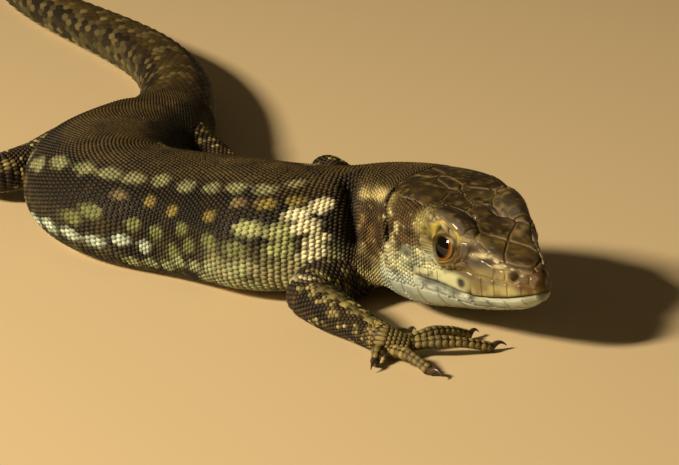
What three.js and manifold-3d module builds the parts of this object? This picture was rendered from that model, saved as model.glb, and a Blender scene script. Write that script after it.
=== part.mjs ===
// Common wall lizard at life size: head raised and turned to its right, trunk bent to its left,
// tail trailing behind. Millimetres, +Z up, belly, feet and tail on the plane z = 0.
import * as THREE from "three";
import { mergeVertices } from "three/addons/utils/BufferGeometryUtils.js";
import Module from "manifold-3d";

const wasm = await Module();
wasm.setup();

// ---------------------------------------------------------------- driving dimensions

const GAP = 0.3; // clearance between neighbouring pieces
const HEAD_LENGTH = 14.4; // snout to the rear edge of the head shields
const SHOULDER_AT = 20;
const WAIST_AT = 38;
const HIP_AT = 52;
const VENT_AT = 60; // snout to vent, along the back
const TAIL_AT = 62;
const TOTAL_LENGTH = 163; // snout to tail tip, along the back

// The head: its snout tip at the level of the mouth, and its turns in degrees.
const SNOUT = new THREE.Vector3(12.6, -14.9, 4.49);
const HEAD_YAW = -62;
const HEAD_PITCH = -4;
const HEAD_ROLL = 4.5;
const NAPE_AT = 12; // where the neck starts to bend

// Heading of the back towards the tail, in degrees from +X, by distance from the snout.
const HEADING = [
  [12, 118],
  [16.5, 155],
  [19.5, 168],
  [22.5, 158],
  [26, 143],
  [30, 148],
  [34.5, 149],
  [42, 101],
  [46, 84],
  [51.5, 72],
  [57, 74],
  [60.5, 82],
  [68, 93],
  [78, 105],
  [86, 117],
  [98, 120],
  [112, 108],
  [132, 84],
  [150, 68],
  [163, 62],
];

// Level of the mouth line, carried back along the body as its middle height.
const LEVEL = [
  [12, 3.65],
  [17, 3.3],
  [22, 3.0],
  [50, 3.0],
  [VENT_AT, 2.6],
  [70, 2.3],
  [90, 1.9],
  [115, 1.35],
  [140, 0.85],
  [TOTAL_LENGTH, 0.3],
];

// Half width, height above and depth below that level, and how square the section is.
const HALF_WIDTH = [
  [0, 0.6],
  [0.4, 1.05],
  [1, 1.4],
  [2, 1.85],
  [3.4, 2.4],
  [5, 3.0],
  [6.6, 3.4],
  [8.4, 3.95],
  [10.2, 4.3],
  [12, 4.45],
  [14, 4.3],
  [17, 4.2],
  [19.8, 4.45],
  [21.5, 5.4],
  [24, 6.3],
  [27, 6.2],
  [31, 5.9],
  [36, 5.85],
  [42, 5.8],
  [49, 5.4],
  [55, 4.5],
  [60, 3.7],
  [66, 3.1],
  [80, 2.5],
  [100, 1.95],
  [125, 1.3],
  [148, 0.72],
  [163, 0.3],
];
const ABOVE = [
  [0, 1.15],
  [0.4, 1.5],
  [1, 1.85],
  [2, 2.25],
  [3.4, 2.75],
  [5, 3.4],
  [6.6, 4.0],
  [8.4, 4.65],
  [10.2, 5.2],
  [12, 5.4],
  [14, 5.45],
  [17, 5.45],
  [20, 5.2],
  [23, 4.95],
  [28, 4.6],
  [35, 4.2],
  [44, 4.0],
  [52, 3.3],
  [60, 2.6],
  [70, 2.25],
  [90, 1.9],
  [115, 1.4],
  [140, 0.9],
  [163, 0.32],
];
const BELOW = [
  [0, 0.55],
  [0.4, 0.8],
  [1, 1.1],
  [2, 1.45],
  [4.5, 1.95],
  [8, 2.45],
  [10.5, 2.75],
  [13, 2.7],
  [18, 2.3],
  [21, 2.4],
  [25, 2.85],
  [30, 3.2],
  [52, 3.2],
  [60, 2.75],
  [90, 2.02],
  [115, 1.47],
  [140, 0.97],
  [163, 0.34],
];
const SQUARE_ABOVE = [
  [0, 2.3],
  [3, 3.6],
  [5, 4.2],
  [6.6, 5.3],
  [8.4, 5.8],
  [10.4, 5.0],
  [13, 3.4],
  [20, 2.3],
  [163, 2.1],
];
const SQUARE_BELOW = [
  [0, 2],
  [8, 2.7],
  [13, 2.8],
  [19, 2.3],
  [23, 3.2],
  [28, 3.0],
  [36, 2.8],
  [42, 2.3],
  [50, 2.7],
  [66, 2.3],
  [163, 2.2],
];

// Where the body is parted, with the rings and sides of each length.
const LENGTHS = [
  { name: "neck", from: HEAD_LENGTH, to: SHOULDER_AT, step: 0.9, sides: 26, colour: "skin" },
  { name: "torso_front", from: SHOULDER_AT, to: WAIST_AT, step: 1.3, sides: 26, colour: "skin" },
  { name: "torso_rear", from: WAIST_AT, to: HIP_AT, step: 1.3, sides: 26, colour: "skin" },
  { name: "pelvis", from: HIP_AT, to: TAIL_AT, step: 1.3, sides: 24, colour: "skin" },
  { name: "tail_1", from: TAIL_AT, to: 80, step: 2, sides: 18, colour: "tail" },
  { name: "tail_2", from: 80, to: 100, step: 2.3, sides: 16, colour: "tail" },
  { name: "tail_3", from: 100, to: 120, step: 2.5, sides: 14, colour: "tail" },
  { name: "tail_4", from: 120, to: 140, step: 2.8, sides: 12, colour: "tail" },
  { name: "tail_5", from: 140, to: TOTAL_LENGTH, step: 2.9, sides: 10, colour: "tail" },
];

// The head's rings, and its eyes, ears and nostrils as distances behind the snout, out and up.
const HEAD_RINGS = [0, 0.4, 1, 1.7, 2.5, 3.4, 4.4, 5.4, 6.4, 7.4, 8.4, 9.4, 10.4, 11.4, 12.3, 13.2, 14.1];
const HEAD_SIDES = 30;
const SNOUT_BULGE = { out: 0.12, up: 0.3 };
const EYE_RADIUS = 1.5;
const EYE = { at: 6.6, out: 2.0, up: 2.15, room: 0.15, around: 16, down: 10 };
const BROW = { at: 6.8, out: 2.2, up: 3.15, long: 2.6, wide: 1.25, high: 1.4 };
const LIDS = { long: 1.92, high: 1.7, out: 1.72, openLong: 1.28, openHigh: 0.86 };
const EAR = { at: 13.2, up: 2.3, long: 0.55, high: 1.2, deep: 0.75 };
const NOSTRIL = { at: 1.15, up: 1.15, radius: 0.27 };

// The gape: height of the mouth line by distance from the snout.
const MOUTH_CORNER_AT = 9.6;
const MOUTH = [
  [0, 0.05],
  [2, -0.15],
  [4.5, -0.25],
  [7, -0.1],
  [MOUTH_CORNER_AT, 0.2],
];
const MOUTH_GROOVE = { wide: 0.24, deep: 0.42, proud: 0.3, step: 0.6, turnsAt: 0.3 };

// Shields on top of the head, as corners [distance from the snout, distance from the midline].
const MIDLINE_SHIELDS = {
  frontonasal: [[1.1, 0.55], [2.0, 1.0], [2.9, 0.55], [3.2, 0]],
  frontal: [[4.0, 0.25], [4.9, 1.1], [6.4, 0.85], [8.1, 0.85], [8.5, 0.2]],
  interparietal: [[10.1, 0.1], [10.9, 0.55], [12.4, 0.2]],
  occipital: [[12.5, 0.25], [13.9, 0.8]],
};
const PAIRED_SHIELDS = {
  prefrontal: [[2.7, 0.75], [3.1, 0.1], [4.0, 0.05], [4.8, 1.05], [4.3, 1.75], [3.3, 1.5]],
  supraocular_front: [[4.6, 1.9], [4.9, 1.25], [6.45, 1.0], [6.6, 2.95], [5.6, 2.75]],
  supraocular_rear: [[6.65, 1.0], [8.2, 1.0], [8.8, 1.7], [8.6, 2.8], [7.6, 3.1], [6.75, 3.0]],
  frontoparietal: [[8.65, 0.1], [8.25, 0.95], [9.0, 1.75], [10.1, 1.2], [10.1, 0.1]],
  parietal: [
    [10.2, 1.25], [9.2, 1.9], [9.4, 2.9], [11.6, 3.3],
    [13.7, 2.5], [13.9, 1.0], [12.5, 0.4], [11, 0.7],
  ],
};
const SHIELD = { seam: 0.07, edge: 0.06, bevel: 0.2, lift: 0.16, crown: 0.18, sunk: 0.5 };

// Lip shields, upper then lower: how many a side, where the row runs, and its edges from the gape.
const LIPS = [
  { count: 6, from: 0.9, to: 9.3, near: 0.16, far: 0.95 },
  { count: 5, from: 1.1, to: 8.9, near: -0.16, far: -0.85 },
];

// Legs: joints as [x, y, z], and the radius of the limb at each.
const LEGS = [
  {
    side: "right",
    upper: "upper_arm",
    lower: "forearm",
    end: "hand",
    joints: [[0.9, -2.9, 1.6], [-2.3, -7.0, 1.75], [2.7, -13.8, 1.15]],
    radii: [1.6, 1.5, 1.0],
    palm: { reach: 1.9, wide: 1.05, thick: 0.55 },
    digits: [
      { heading: 62, curl: 0, length: 4.4, lift: 0.75 },
      { heading: 16, curl: 36, length: 7.2, lift: 1.2 },
      { heading: -5, curl: 34, length: 7.9, lift: 0.95 },
      { heading: -53, curl: 6, length: 5.5, lift: 0.7 },
      { heading: -103, curl: 0, length: 3.0, lift: 0.6 },
    ],
  },
  {
    side: "left",
    upper: "upper_arm",
    lower: "forearm",
    end: "hand",
    joints: [[0.2, 3.6, 3.8], [-1.0, 9.6, 5.2], [6.6, 5.6, 1.15]],
    radii: [1.7, 1.3, 0.8],
    palm: { reach: 1.9, wide: 1.05, thick: 0.55 },
    digits: [
      { heading: -98, curl: 0, length: 4.0, lift: 0.6 },
      { heading: -68, curl: -8, length: 6.2, lift: 0.8 },
      { heading: -42, curl: 0, length: 7.4, lift: 0.9 },
      { heading: -16, curl: 8, length: 7.4, lift: 0.9 },
      { heading: 24, curl: 6, length: 5.0, lift: 0.7 },
    ],
  },
  {
    side: "right",
    upper: "thigh",
    lower: "shin",
    end: "foot",
    joints: [[-15.8, 25.6, 2.8], [-24.6, 18.0, 2.3], [-30.6, 23.4, 1.25]],
    radii: [2.1, 1.45, 0.9],
    palm: { reach: 3.2, wide: 1.15, thick: 0.6 },
    digits: [
      { heading: -100, curl: 0, length: 6.2, lift: 0.7 },
      { heading: -116, curl: -4, length: 8.6, lift: 0.9 },
      { heading: -130, curl: -8, length: 11.2, lift: 1.0 },
      { heading: -142, curl: -12, length: 13.8, lift: 1.0 },
      { heading: -176, curl: -6, length: 8.2, lift: 0.8 },
    ],
  },
  {
    side: "left",
    upper: "thigh",
    lower: "shin",
    end: "foot",
    joints: [[-12.8, 26.2, 2.8], [-7.0, 16.6, 1.9], [-1.6, 19.6, 1.2]],
    radii: [2.1, 1.4, 0.9],
    palm: { reach: 3.2, wide: 1.15, thick: 0.6 },
    digits: [
      { heading: -94, curl: 0, length: 6.2, lift: 0.7 },
      { heading: -76, curl: 4, length: 8.6, lift: 0.9 },
      { heading: -60, curl: 8, length: 11.2, lift: 1.0 },
      { heading: -46, curl: 12, length: 13.8, lift: 1.0 },
      { heading: -12, curl: 6, length: 8.2, lift: 0.8 },
    ],
  },
];
const DIGIT = { root: 0.44, tip: 0.3, rest: 0.27, arch: 0.8, knuckles: 2, swell: 0.08, sides: 6, rings: 6 };
const CLAW = { length: 1.1, sunk: 0.1, root: 0.27, tip: 0.05, hook: 0.35, sides: 5, rings: 3 };
const LIMB = { sides: 12, step: 1.1, belly: 0.12, socket: 0.9 };
const PALM = { rings: 4, sides: 10, end: 0.75, spread: 0.3, proud: 0.1 };
const CUFF = { back: 0.35, on: 0.5, end: 0.9 };

const COLOURS = {
  skin: 0x5b4b2e,
  head: 0x6a5730,
  tail: 0x57492f,
  leg: 0x4a3b22,
  eye: 0x2a1a0a,
};

// ---------------------------------------------------------------- curves and frames

const degrees = THREE.MathUtils.degToRad;

// Smooth curve through [place, value] pairs, level beyond both ends.
function smooth(table, at) {
  const last = table.length - 1;
  if (at <= table[0][0]) return table[0][1];
  if (at >= table[last][0]) return table[last][1];
  let i = 0;
  while (at > table[i + 1][0]) i += 1;
  const slope = (k) => {
    const a = table[Math.max(k - 1, 0)];
    const b = table[Math.min(k + 1, last)];
    return (b[1] - a[1]) / (b[0] - a[0]);
  };
  const [x0, y0] = table[i];
  const [x1, y1] = table[i + 1];
  const h = x1 - x0;
  const t = (at - x0) / h;
  const t2 = t * t;
  const t3 = t2 * t;
  return (
    y0 * (2 * t3 - 3 * t2 + 1) +
    y1 * (3 * t2 - 2 * t3) +
    h * (slope(i) * (t3 - 2 * t2 + t) + slope(i + 1) * (t3 - t2))
  );
}

function headTurn(yaw, pitch, roll) {
  const euler = new THREE.Euler(degrees(roll), degrees(pitch), degrees(yaw), "ZYX");
  return new THREE.Quaternion().setFromEuler(euler);
}

// The route of the back behind the nape, walked in short steps.
const ROUTE_STEP = 0.25;
const headForward = new THREE.Vector3(1, 0, 0).applyQuaternion(headTurn(HEAD_YAW, HEAD_PITCH, HEAD_ROLL));
const ROUTE = [SNOUT.clone().addScaledVector(headForward, -NAPE_AT)];
for (let at = NAPE_AT; at < TOTAL_LENGTH + 1; at += ROUTE_STEP) {
  const heading = degrees(smooth(HEADING, at + ROUTE_STEP / 2));
  const step = new THREE.Vector3(Math.cos(heading), Math.sin(heading), 0).multiplyScalar(ROUTE_STEP);
  ROUTE.push(ROUTE[ROUTE.length - 1].clone().add(step));
}

// Centre and axes (x forward, y left, z up) of the body's section at a distance from the snout.
function sectionAt(at) {
  const yaw = at <= NAPE_AT ? HEAD_YAW : smooth(HEADING, at) - 180;
  const ease = THREE.MathUtils.smoothstep(at, NAPE_AT, SHOULDER_AT);
  const turn = headTurn(yaw, HEAD_PITCH * (1 - ease), HEAD_ROLL * (1 - ease));
  let centre;
  if (at <= NAPE_AT) {
    centre = SNOUT.clone().addScaledVector(headForward, -at);
  } else {
    const place = (at - NAPE_AT) / ROUTE_STEP;
    const i = Math.min(Math.floor(place), ROUTE.length - 2);
    centre = ROUTE[i].clone().lerp(ROUTE[i + 1], place - i);
    centre.z = smooth(LEVEL, at);
  }
  return { centre, turn };
}

// A point given across and above the section's centre.
function inSection(section, across, above) {
  return new THREE.Vector3(0, across, above).applyQuaternion(section.turn).add(section.centre);
}

// Skin outline of a section, grown by a margin, as across and above for an angle.
function outline(at, angle, grow) {
  const c = Math.cos(angle);
  const s = Math.sin(angle);
  const power = 2 / (s > 0 ? smooth(SQUARE_ABOVE, at) : smooth(SQUARE_BELOW, at));
  const height = s > 0 ? smooth(ABOVE, at) : smooth(BELOW, at);
  return [
    (smooth(HALF_WIDTH, at) + grow) * Math.sign(c) * Math.abs(c) ** power,
    (height + grow) * Math.sign(s) * Math.abs(s) ** power,
  ];
}

// Height of the head's top at a distance from its midline, and its width at a height.
const OUTERMOST = 0.98;
function topOfHead(at, across) {
  const n = smooth(SQUARE_ABOVE, at);
  const share = Math.min(Math.abs(across) / smooth(HALF_WIDTH, at), OUTERMOST);
  const offBrow = ((at - BROW.at) / BROW.long) ** 2 + ((Math.abs(across) - BROW.out) / BROW.wide) ** 2;
  const brow = offBrow < 1 ? BROW.up + BROW.high * Math.sqrt(1 - offBrow) : 0;
  return Math.max(brow, smooth(ABOVE, at) * (1 - share ** n) ** (1 / n));
}
function sideOfHead(at, above) {
  const n = above > 0 ? smooth(SQUARE_ABOVE, at) : smooth(SQUARE_BELOW, at);
  const height = above > 0 ? smooth(ABOVE, at) : smooth(BELOW, at);
  const share = Math.min(Math.abs(above) / height, OUTERMOST);
  return smooth(HALF_WIDTH, at) * (1 - share ** n) ** (1 / n);
}

// ---------------------------------------------------------------- solids

// Closed mesh from vertices and faces, turned so that its faces point outwards.
function closedGeometry(points, faces) {
  let volume = 0;
  for (const [a, b, c] of faces) {
    volume += points[a].dot(new THREE.Vector3().crossVectors(points[b], points[c]));
  }
  const index = volume < 0 ? faces.map(([a, b, c]) => [a, c, b]) : faces;
  const geometry = new THREE.BufferGeometry();
  geometry.setFromPoints(points);
  geometry.setIndex(index.flat());
  return geometry;
}

// Closed loft through rings of equal count, capped by a fan at both ends.
function loft(rings, startTip, endTip) {
  const sides = rings[0].length;
  const points = rings.flat();
  const faces = [];
  for (let r = 0; r + 1 < rings.length; r += 1) {
    for (let k = 0; k < sides; k += 1) {
      const a = r * sides + k;
      const b = r * sides + ((k + 1) % sides);
      faces.push([a, b, b + sides], [a, b + sides, a + sides]);
    }
  }
  const middle = (ring) => ring.reduce((sum, p) => sum.add(p), new THREE.Vector3()).divideScalar(sides);
  const first = points.push(startTip ?? middle(rings[0])) - 1;
  const last = points.push(endTip ?? middle(rings[rings.length - 1])) - 1;
  const lastRing = (rings.length - 1) * sides;
  for (let k = 0; k < sides; k += 1) {
    const next = (k + 1) % sides;
    faces.push([first, next, k], [last, lastRing + k, lastRing + next]);
  }
  return closedGeometry(points, faces);
}

function solid(geometry) {
  const bare = new THREE.BufferGeometry();
  bare.setAttribute("position", geometry.getAttribute("position"));
  if (geometry.index) bare.setIndex(geometry.index);
  const merged = mergeVertices(bare, 1e-4);
  return new wasm.Manifold(
    new wasm.Mesh({
      numProp: 3,
      vertProperties: new Float32Array(merged.attributes.position.array),
      triVerts: new Uint32Array(merged.index.array),
    }),
  );
}

const fuse = (solids) => solids.reduce((whole, piece) => whole.add(piece));

// The largest closed surface of a solid, as a geometry.
function largest(made) {
  const bodies = made.decompose().sort((a, b) => b.volume() - a.volume());
  const mesh = bodies[0].getMesh();
  const geometry = new THREE.BufferGeometry();
  geometry.setAttribute("position", new THREE.BufferAttribute(mesh.vertProperties, 3));
  geometry.setIndex(new THREE.BufferAttribute(mesh.triVerts, 1));
  return geometry;
}

const onFloor = (point) => {
  point.z = Math.max(point.z, 0);
  return point;
};

// A length of the body between two distances from the snout.
function bodyLength({ from, to, step, sides }, grow = 0) {
  const count = Math.max(2, Math.round((to - from) / step));
  const rings = [];
  for (let r = 0; r <= count; r += 1) {
    const at = THREE.MathUtils.lerp(from, to, r / count);
    const section = sectionAt(at);
    rings.push(
      Array.from({ length: sides }, (_, k) =>
        onFloor(inSection(section, ...outline(at, (2 * Math.PI * k) / sides, grow))),
      ),
    );
  }
  return loft(rings);
}

const SKIN_ROUGHNESS = 0.55;
const EYE_ROUGHNESS = 0.1;
const BALL_SEGMENTS = [12, 8];
const lizard = new THREE.Group();
function addNode(name, geometry, colour, roughness = SKIN_ROUGHNESS) {
  const material = new THREE.MeshStandardMaterial({ color: COLOURS[colour], roughness, metalness: 0 });
  const mesh = new THREE.Mesh(geometry, material);
  mesh.name = name;
  lizard.add(mesh);
}

// ---------------------------------------------------------------- head

const headSection = sectionAt(0);
// A point in the head's own axes, given as distance behind the snout, left and up.
function inHead(at, left, up) {
  return new THREE.Vector3(-at, left, up).applyQuaternion(headSection.turn).add(SNOUT);
}

// An ellipsoid with its three half axes along the head's axes.
function headBall(at, left, up, long, wide, high) {
  const ball = new THREE.SphereGeometry(1, ...BALL_SEGMENTS);
  ball.scale(long, wide, high);
  ball.applyQuaternion(headSection.turn);
  ball.translate(...inHead(at, left, up));
  return solid(ball);
}

// A raised plate from its corners on the surface; place(corner, lift) gives a point over it.
function raisedPlate(corners, place) {
  const n = corners.length;
  const middle = corners.reduce((sum, c) => [sum[0] + c[0] / n, sum[1] + c[1] / n], [0, 0]);
  const inset = (corner, by) => {
    const dx = middle[0] - corner[0];
    const dy = middle[1] - corner[1];
    const share = by / Math.hypot(dx, dy);
    return [corner[0] + dx * share, corner[1] + dy * share];
  };
  const ring = (by, lift) => corners.map((c) => place(inset(c, by), lift));
  const rings = [
    ring(SHIELD.seam, -SHIELD.sunk),
    ring(SHIELD.seam, SHIELD.edge),
    ring(SHIELD.bevel, SHIELD.lift),
  ];
  return solid(loft(rings, place(middle, -SHIELD.sunk), place(middle, SHIELD.crown)));
}

function headShields() {
  const onTop = ([at, left], lift) => inSection(sectionAt(at), left, topOfHead(at, left) + lift);
  const plates = [];
  for (const half of Object.values(MIDLINE_SHIELDS)) {
    const mirrored = half.filter(([, left]) => left > 0).map(([at, left]) => [at, -left]);
    plates.push(raisedPlate([...half, ...mirrored.reverse()], onTop));
  }
  for (const corners of Object.values(PAIRED_SHIELDS)) {
    for (const side of [-1, 1]) {
      plates.push(raisedPlate(corners.map(([at, left]) => [at, side * left]), onTop));
    }
  }
  return plates;
}

function lipShields() {
  const plates = [];
  for (const { count, from, to, near, far } of LIPS) {
    for (const side of [-1, 1]) {
      const onSide = ([at, above], lift) => {
        const up = smooth(MOUTH, at) + above;
        return inHead(at, side * (sideOfHead(at, up) + lift), up);
      };
      for (let i = 0; i < count; i += 1) {
        const a = THREE.MathUtils.lerp(from, to, i / count);
        const b = THREE.MathUtils.lerp(from, to, (i + 1) / count);
        const m = (a + b) / 2;
        const corners = [[a, near], [m, near], [b, near], [b, far], [m, far], [a, far]];
        plates.push(raisedPlate(corners, onSide));
      }
    }
  }
  return plates;
}

// Groove of the mouth from one corner round the snout to the other.
const SNOUT_TURN = [[0.12, -1, 0.8], [-0.16, 0, 0], [0.12, 1, 0.8]]; // at, side, share of the width
function mouthGroove() {
  const { wide, deep, proud, step, turnsAt } = MOUTH_GROOVE;
  const along = [];
  for (let at = turnsAt; at < MOUTH_CORNER_AT; at += step) along.push(at);
  along.push(MOUTH_CORNER_AT);
  const right = along.map((at) => [at, -1, 1]).reverse();
  const left = along.map((at) => [at, 1, 1]);
  const rings = [...right, ...SNOUT_TURN, ...left].map(([at, side, share]) => {
    const up = smooth(MOUTH, at);
    const half = sideOfHead(at, up) * side * share;
    const facing = side * Math.min(Math.PI / 2, Math.PI / 4 + Math.floor(at));
    const out = (by, rise) => inHead(at - Math.cos(facing) * by, half + Math.sin(facing) * by, up + rise);
    return [out(proud, wide), out(proud, -wide), out(-deep, 0)];
  });
  return solid(loft(rings));
}

function makeHead() {
  const rings = HEAD_RINGS.map((at) => {
    const section = sectionAt(at);
    const turns = Array.from({ length: HEAD_SIDES }, (_, k) => (2 * Math.PI * k) / HEAD_SIDES);
    return turns.map((angle) => inSection(section, ...outline(at, angle, 0)));
  });
  let head = solid(loft(rings, inHead(-SNOUT_BULGE.out, 0, SNOUT_BULGE.up)));
  head = fuse([head, ...headShields(), ...lipShields()]);
  for (const side of [-1, 1]) {
    const out = side * EYE.out;
    const room = EYE_RADIUS + EYE.room;
    const earOut = side * sideOfHead(EAR.at, EAR.up);
    const noseOut = side * sideOfHead(NOSTRIL.at, NOSTRIL.up);
    const { radius } = NOSTRIL;
    const cuts = [
      headBall(EYE.at, out, EYE.up, room, room, room),
      headBall(EYE.at, out + side * LIDS.out, EYE.up, LIDS.openLong, LIDS.out, LIDS.openHigh),
      headBall(EAR.at, earOut, EAR.up, EAR.long, EAR.deep, EAR.high),
      headBall(NOSTRIL.at, noseOut, NOSTRIL.up, radius, radius, radius),
    ];
    const bulges = [
      headBall(EYE.at, out, EYE.up, LIDS.long, LIDS.out, LIDS.high),
      headBall(BROW.at, side * BROW.out, BROW.up, BROW.long, BROW.wide, BROW.high),
    ];
    head = fuse([head, ...bulges]).subtract(fuse(cuts));
    const ball = new THREE.SphereGeometry(EYE_RADIUS, EYE.around, EYE.down);
    ball.translate(...inHead(EYE.at, out, EYE.up));
    addNode(side < 0 ? "eye_right" : "eye_left", largest(solid(ball)), "eye", EYE_ROUGHNESS);
  }
  addNode("head", largest(head.subtract(mouthGroove())), "head");
}

// ---------------------------------------------------------------- legs

// Rings round a path of points, with a radius at each; the floor flattens them.
function tube(path, radii, sides, flatten = 1) {
  return path.map((point, i) => {
    const before = path[Math.max(i - 1, 0)];
    const after = path[Math.min(i + 1, path.length - 1)];
    const along = after.clone().sub(before).normalize();
    const across = new THREE.Vector3(0, 0, 1).cross(along).normalize();
    const over = along.clone().cross(across);
    return Array.from({ length: sides }, (_, k) => {
      const a = (2 * Math.PI * k) / sides;
      return onFloor(
        point
          .clone()
          .addScaledVector(across, radii[i] * Math.cos(a))
          .addScaledVector(over, radii[i] * flatten * Math.sin(a)),
      );
    });
  });
}

// One length of a limb between two joints, shortened by a gap at its ends.
function limbLength(from, to, radiusFrom, radiusTo, trimFrom, trimTo) {
  const a = new THREE.Vector3(...from);
  const b = new THREE.Vector3(...to);
  const whole = a.distanceTo(b);
  const count = Math.round(whole / LIMB.step);
  const path = [];
  const radii = [];
  for (let i = 0; i <= count; i += 1) {
    const t = THREE.MathUtils.lerp(trimFrom / whole, 1 - trimTo / whole, i / count);
    path.push(a.clone().lerp(b, t));
    radii.push(THREE.MathUtils.lerp(radiusFrom, radiusTo, t) + LIMB.belly * Math.sin(Math.PI * t));
  }
  return solid(loft(tube(path, radii, LIMB.sides)));
}

// A toe from the root of the hand or foot, with swollen knuckles and a hooked claw.
function makeDigit(root, { heading, curl, length, lift }) {
  const reach = length - CLAW.length;
  const path = [root.clone()];
  const radii = [DIGIT.root];
  const rings = DIGIT.rings;
  for (let i = 1; i <= rings; i += 1) {
    const t = i / rings;
    const turned = degrees(heading + curl * t ** 2);
    const last = path[i - 1];
    const radius = THREE.MathUtils.lerp(DIGIT.root, DIGIT.tip, t);
    const knuckle = DIGIT.swell * Math.max(0, Math.cos(2 * Math.PI * DIGIT.knuckles * t));
    const arch = (lift - DIGIT.rest) * DIGIT.arch * Math.sin(Math.PI * t ** 1.3);
    const step = new THREE.Vector3(Math.cos(turned), Math.sin(turned), 0).multiplyScalar(reach / rings);
    const next = last.clone().add(step);
    next.z = THREE.MathUtils.lerp(root.z, DIGIT.rest, t) + arch;
    path.push(next);
    radii.push(radius + knuckle);
  }
  const end = degrees(heading + curl);
  const forward = new THREE.Vector3(Math.cos(end), Math.sin(end), 0);
  const clawPath = [];
  const clawRadii = [];
  const tip = path[path.length - 1];
  for (let i = 0; i <= CLAW.rings; i += 1) {
    const t = i / CLAW.rings;
    const point = tip.clone().addScaledVector(forward, THREE.MathUtils.lerp(-CLAW.sunk, CLAW.length, t));
    point.z = tip.z + CLAW.hook * Math.sin(Math.PI * t * 0.8) - tip.z * t ** 2 * 0.8;
    clawPath.push(point);
    clawRadii.push(THREE.MathUtils.lerp(CLAW.root, CLAW.tip, t));
  }
  const toe = solid(loft(tube(path, radii, DIGIT.sides)));
  return toe.add(solid(loft(tube(clawPath, clawRadii, CLAW.sides))));
}

// Hand or foot: a flat palm from the wrist and five digits, fused.
function makeEnd({ joints, radii, palm, digits }) {
  const wrist = new THREE.Vector3(...joints[2]);
  const elbow = new THREE.Vector3(...joints[1]);
  const inward = elbow.clone().sub(wrist).normalize();
  const middle = degrees(digits[2].heading);
  const forward = new THREE.Vector3(Math.cos(middle), Math.sin(middle), 0);
  const path = [];
  const sizes = [];
  for (let i = 0; i <= PALM.rings; i += 1) {
    const t = i / PALM.rings;
    const point = wrist.clone().addScaledVector(forward, palm.reach * t);
    point.z = THREE.MathUtils.lerp(wrist.z, palm.thick, t);
    path.push(point);
    const wide = THREE.MathUtils.lerp(radii[2], palm.wide, Math.sin((Math.PI / 2) * t));
    sizes.push(i === PALM.rings ? wide * PALM.end : wide);
  }
  const pad = solid(loft(tube(path, sizes, PALM.sides, palm.thick / palm.wide)));
  const cuffPath = [CUFF.back, -CUFF.on].map((by) => wrist.clone().addScaledVector(inward, by));
  const cuff = solid(loft(tube(cuffPath, [radii[2], radii[2] * CUFF.end], PALM.sides)));
  const fingers = digits.map((digit) => {
    const turned = degrees(digit.heading);
    const root = wrist.clone();
    root.x += Math.cos(turned) * palm.wide * PALM.spread;
    root.y += Math.sin(turned) * palm.wide * PALM.spread;
    root.z = palm.thick + PALM.proud;
    return makeDigit(root, digit);
  });
  return fuse([pad, cuff, ...fingers]);
}

// Room for the lower length of a limb where it meets the knuckle of the knee or elbow.
function lowerRoom(knee, wrist, radius) {
  const a = new THREE.Vector3(...knee);
  const along = new THREE.Vector3(...wrist).sub(a).normalize();
  const start = a.clone().addScaledVector(along, radius * LIMB.socket - GAP);
  const end = a.clone().addScaledVector(along, radius * 3);
  return solid(loft(tube([start, end], [radius * 2, radius * 2], LIMB.sides)));
}

// The stretch of the body that a limb grows from, grown by the gap.
const ROOTS = {
  hand: { from: HEAD_LENGTH, to: WAIST_AT, step: 1.3, sides: 26 },
  foot: { from: WAIST_AT, to: 66, step: 1.3, sides: 24 },
};

function makeLegs() {
  for (const leg of LEGS) {
    const [root, knee, wrist] = leg.joints;
    const [thick, middle, thin] = leg.radii;
    const flank = solid(bodyLength(ROOTS[leg.end], GAP));
    const upper = limbLength(root, knee, thick, middle, 0, LIMB.belly);
    const lower = limbLength(knee, wrist, middle, thin, middle * LIMB.socket, CUFF.back + GAP);
    const ball = new THREE.SphereGeometry(middle, ...BALL_SEGMENTS);
    ball.translate(...knee);
    const capped = upper.add(solid(ball)).subtract(lowerRoom(knee, wrist, middle));
    addNode(`${leg.side}_${leg.upper}`, largest(capped.subtract(flank)), "leg");
    addNode(`${leg.side}_${leg.lower}`, largest(lower), "leg");
    const room = limbLength(knee, wrist, middle + GAP, thin + GAP, middle, CUFF.back);
    addNode(`${leg.side}_${leg.end}`, largest(makeEnd(leg).subtract(room)), "leg");
  }
}

// ---------------------------------------------------------------- assembly

makeHead();
LENGTHS.forEach((length, i) => {
  const trim = i === LENGTHS.length - 1 ? 0 : GAP / 2;
  const trimmed = { ...length, from: length.from + GAP / 2, to: length.to - trim };
  addNode(length.name, largest(solid(bodyLength(trimmed))), length.colour);
});
makeLegs();

// The origin is under the middle of the whole lizard, on the floor.
const box = new THREE.Box3().setFromObject(lizard);
const centre = box.getCenter(new THREE.Vector3());
lizard.position.set(-centre.x, -centre.y, -box.min.z);

export default lizard;
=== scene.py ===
import math

import bpy
import numpy as np
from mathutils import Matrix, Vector, geometry, kdtree


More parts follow.
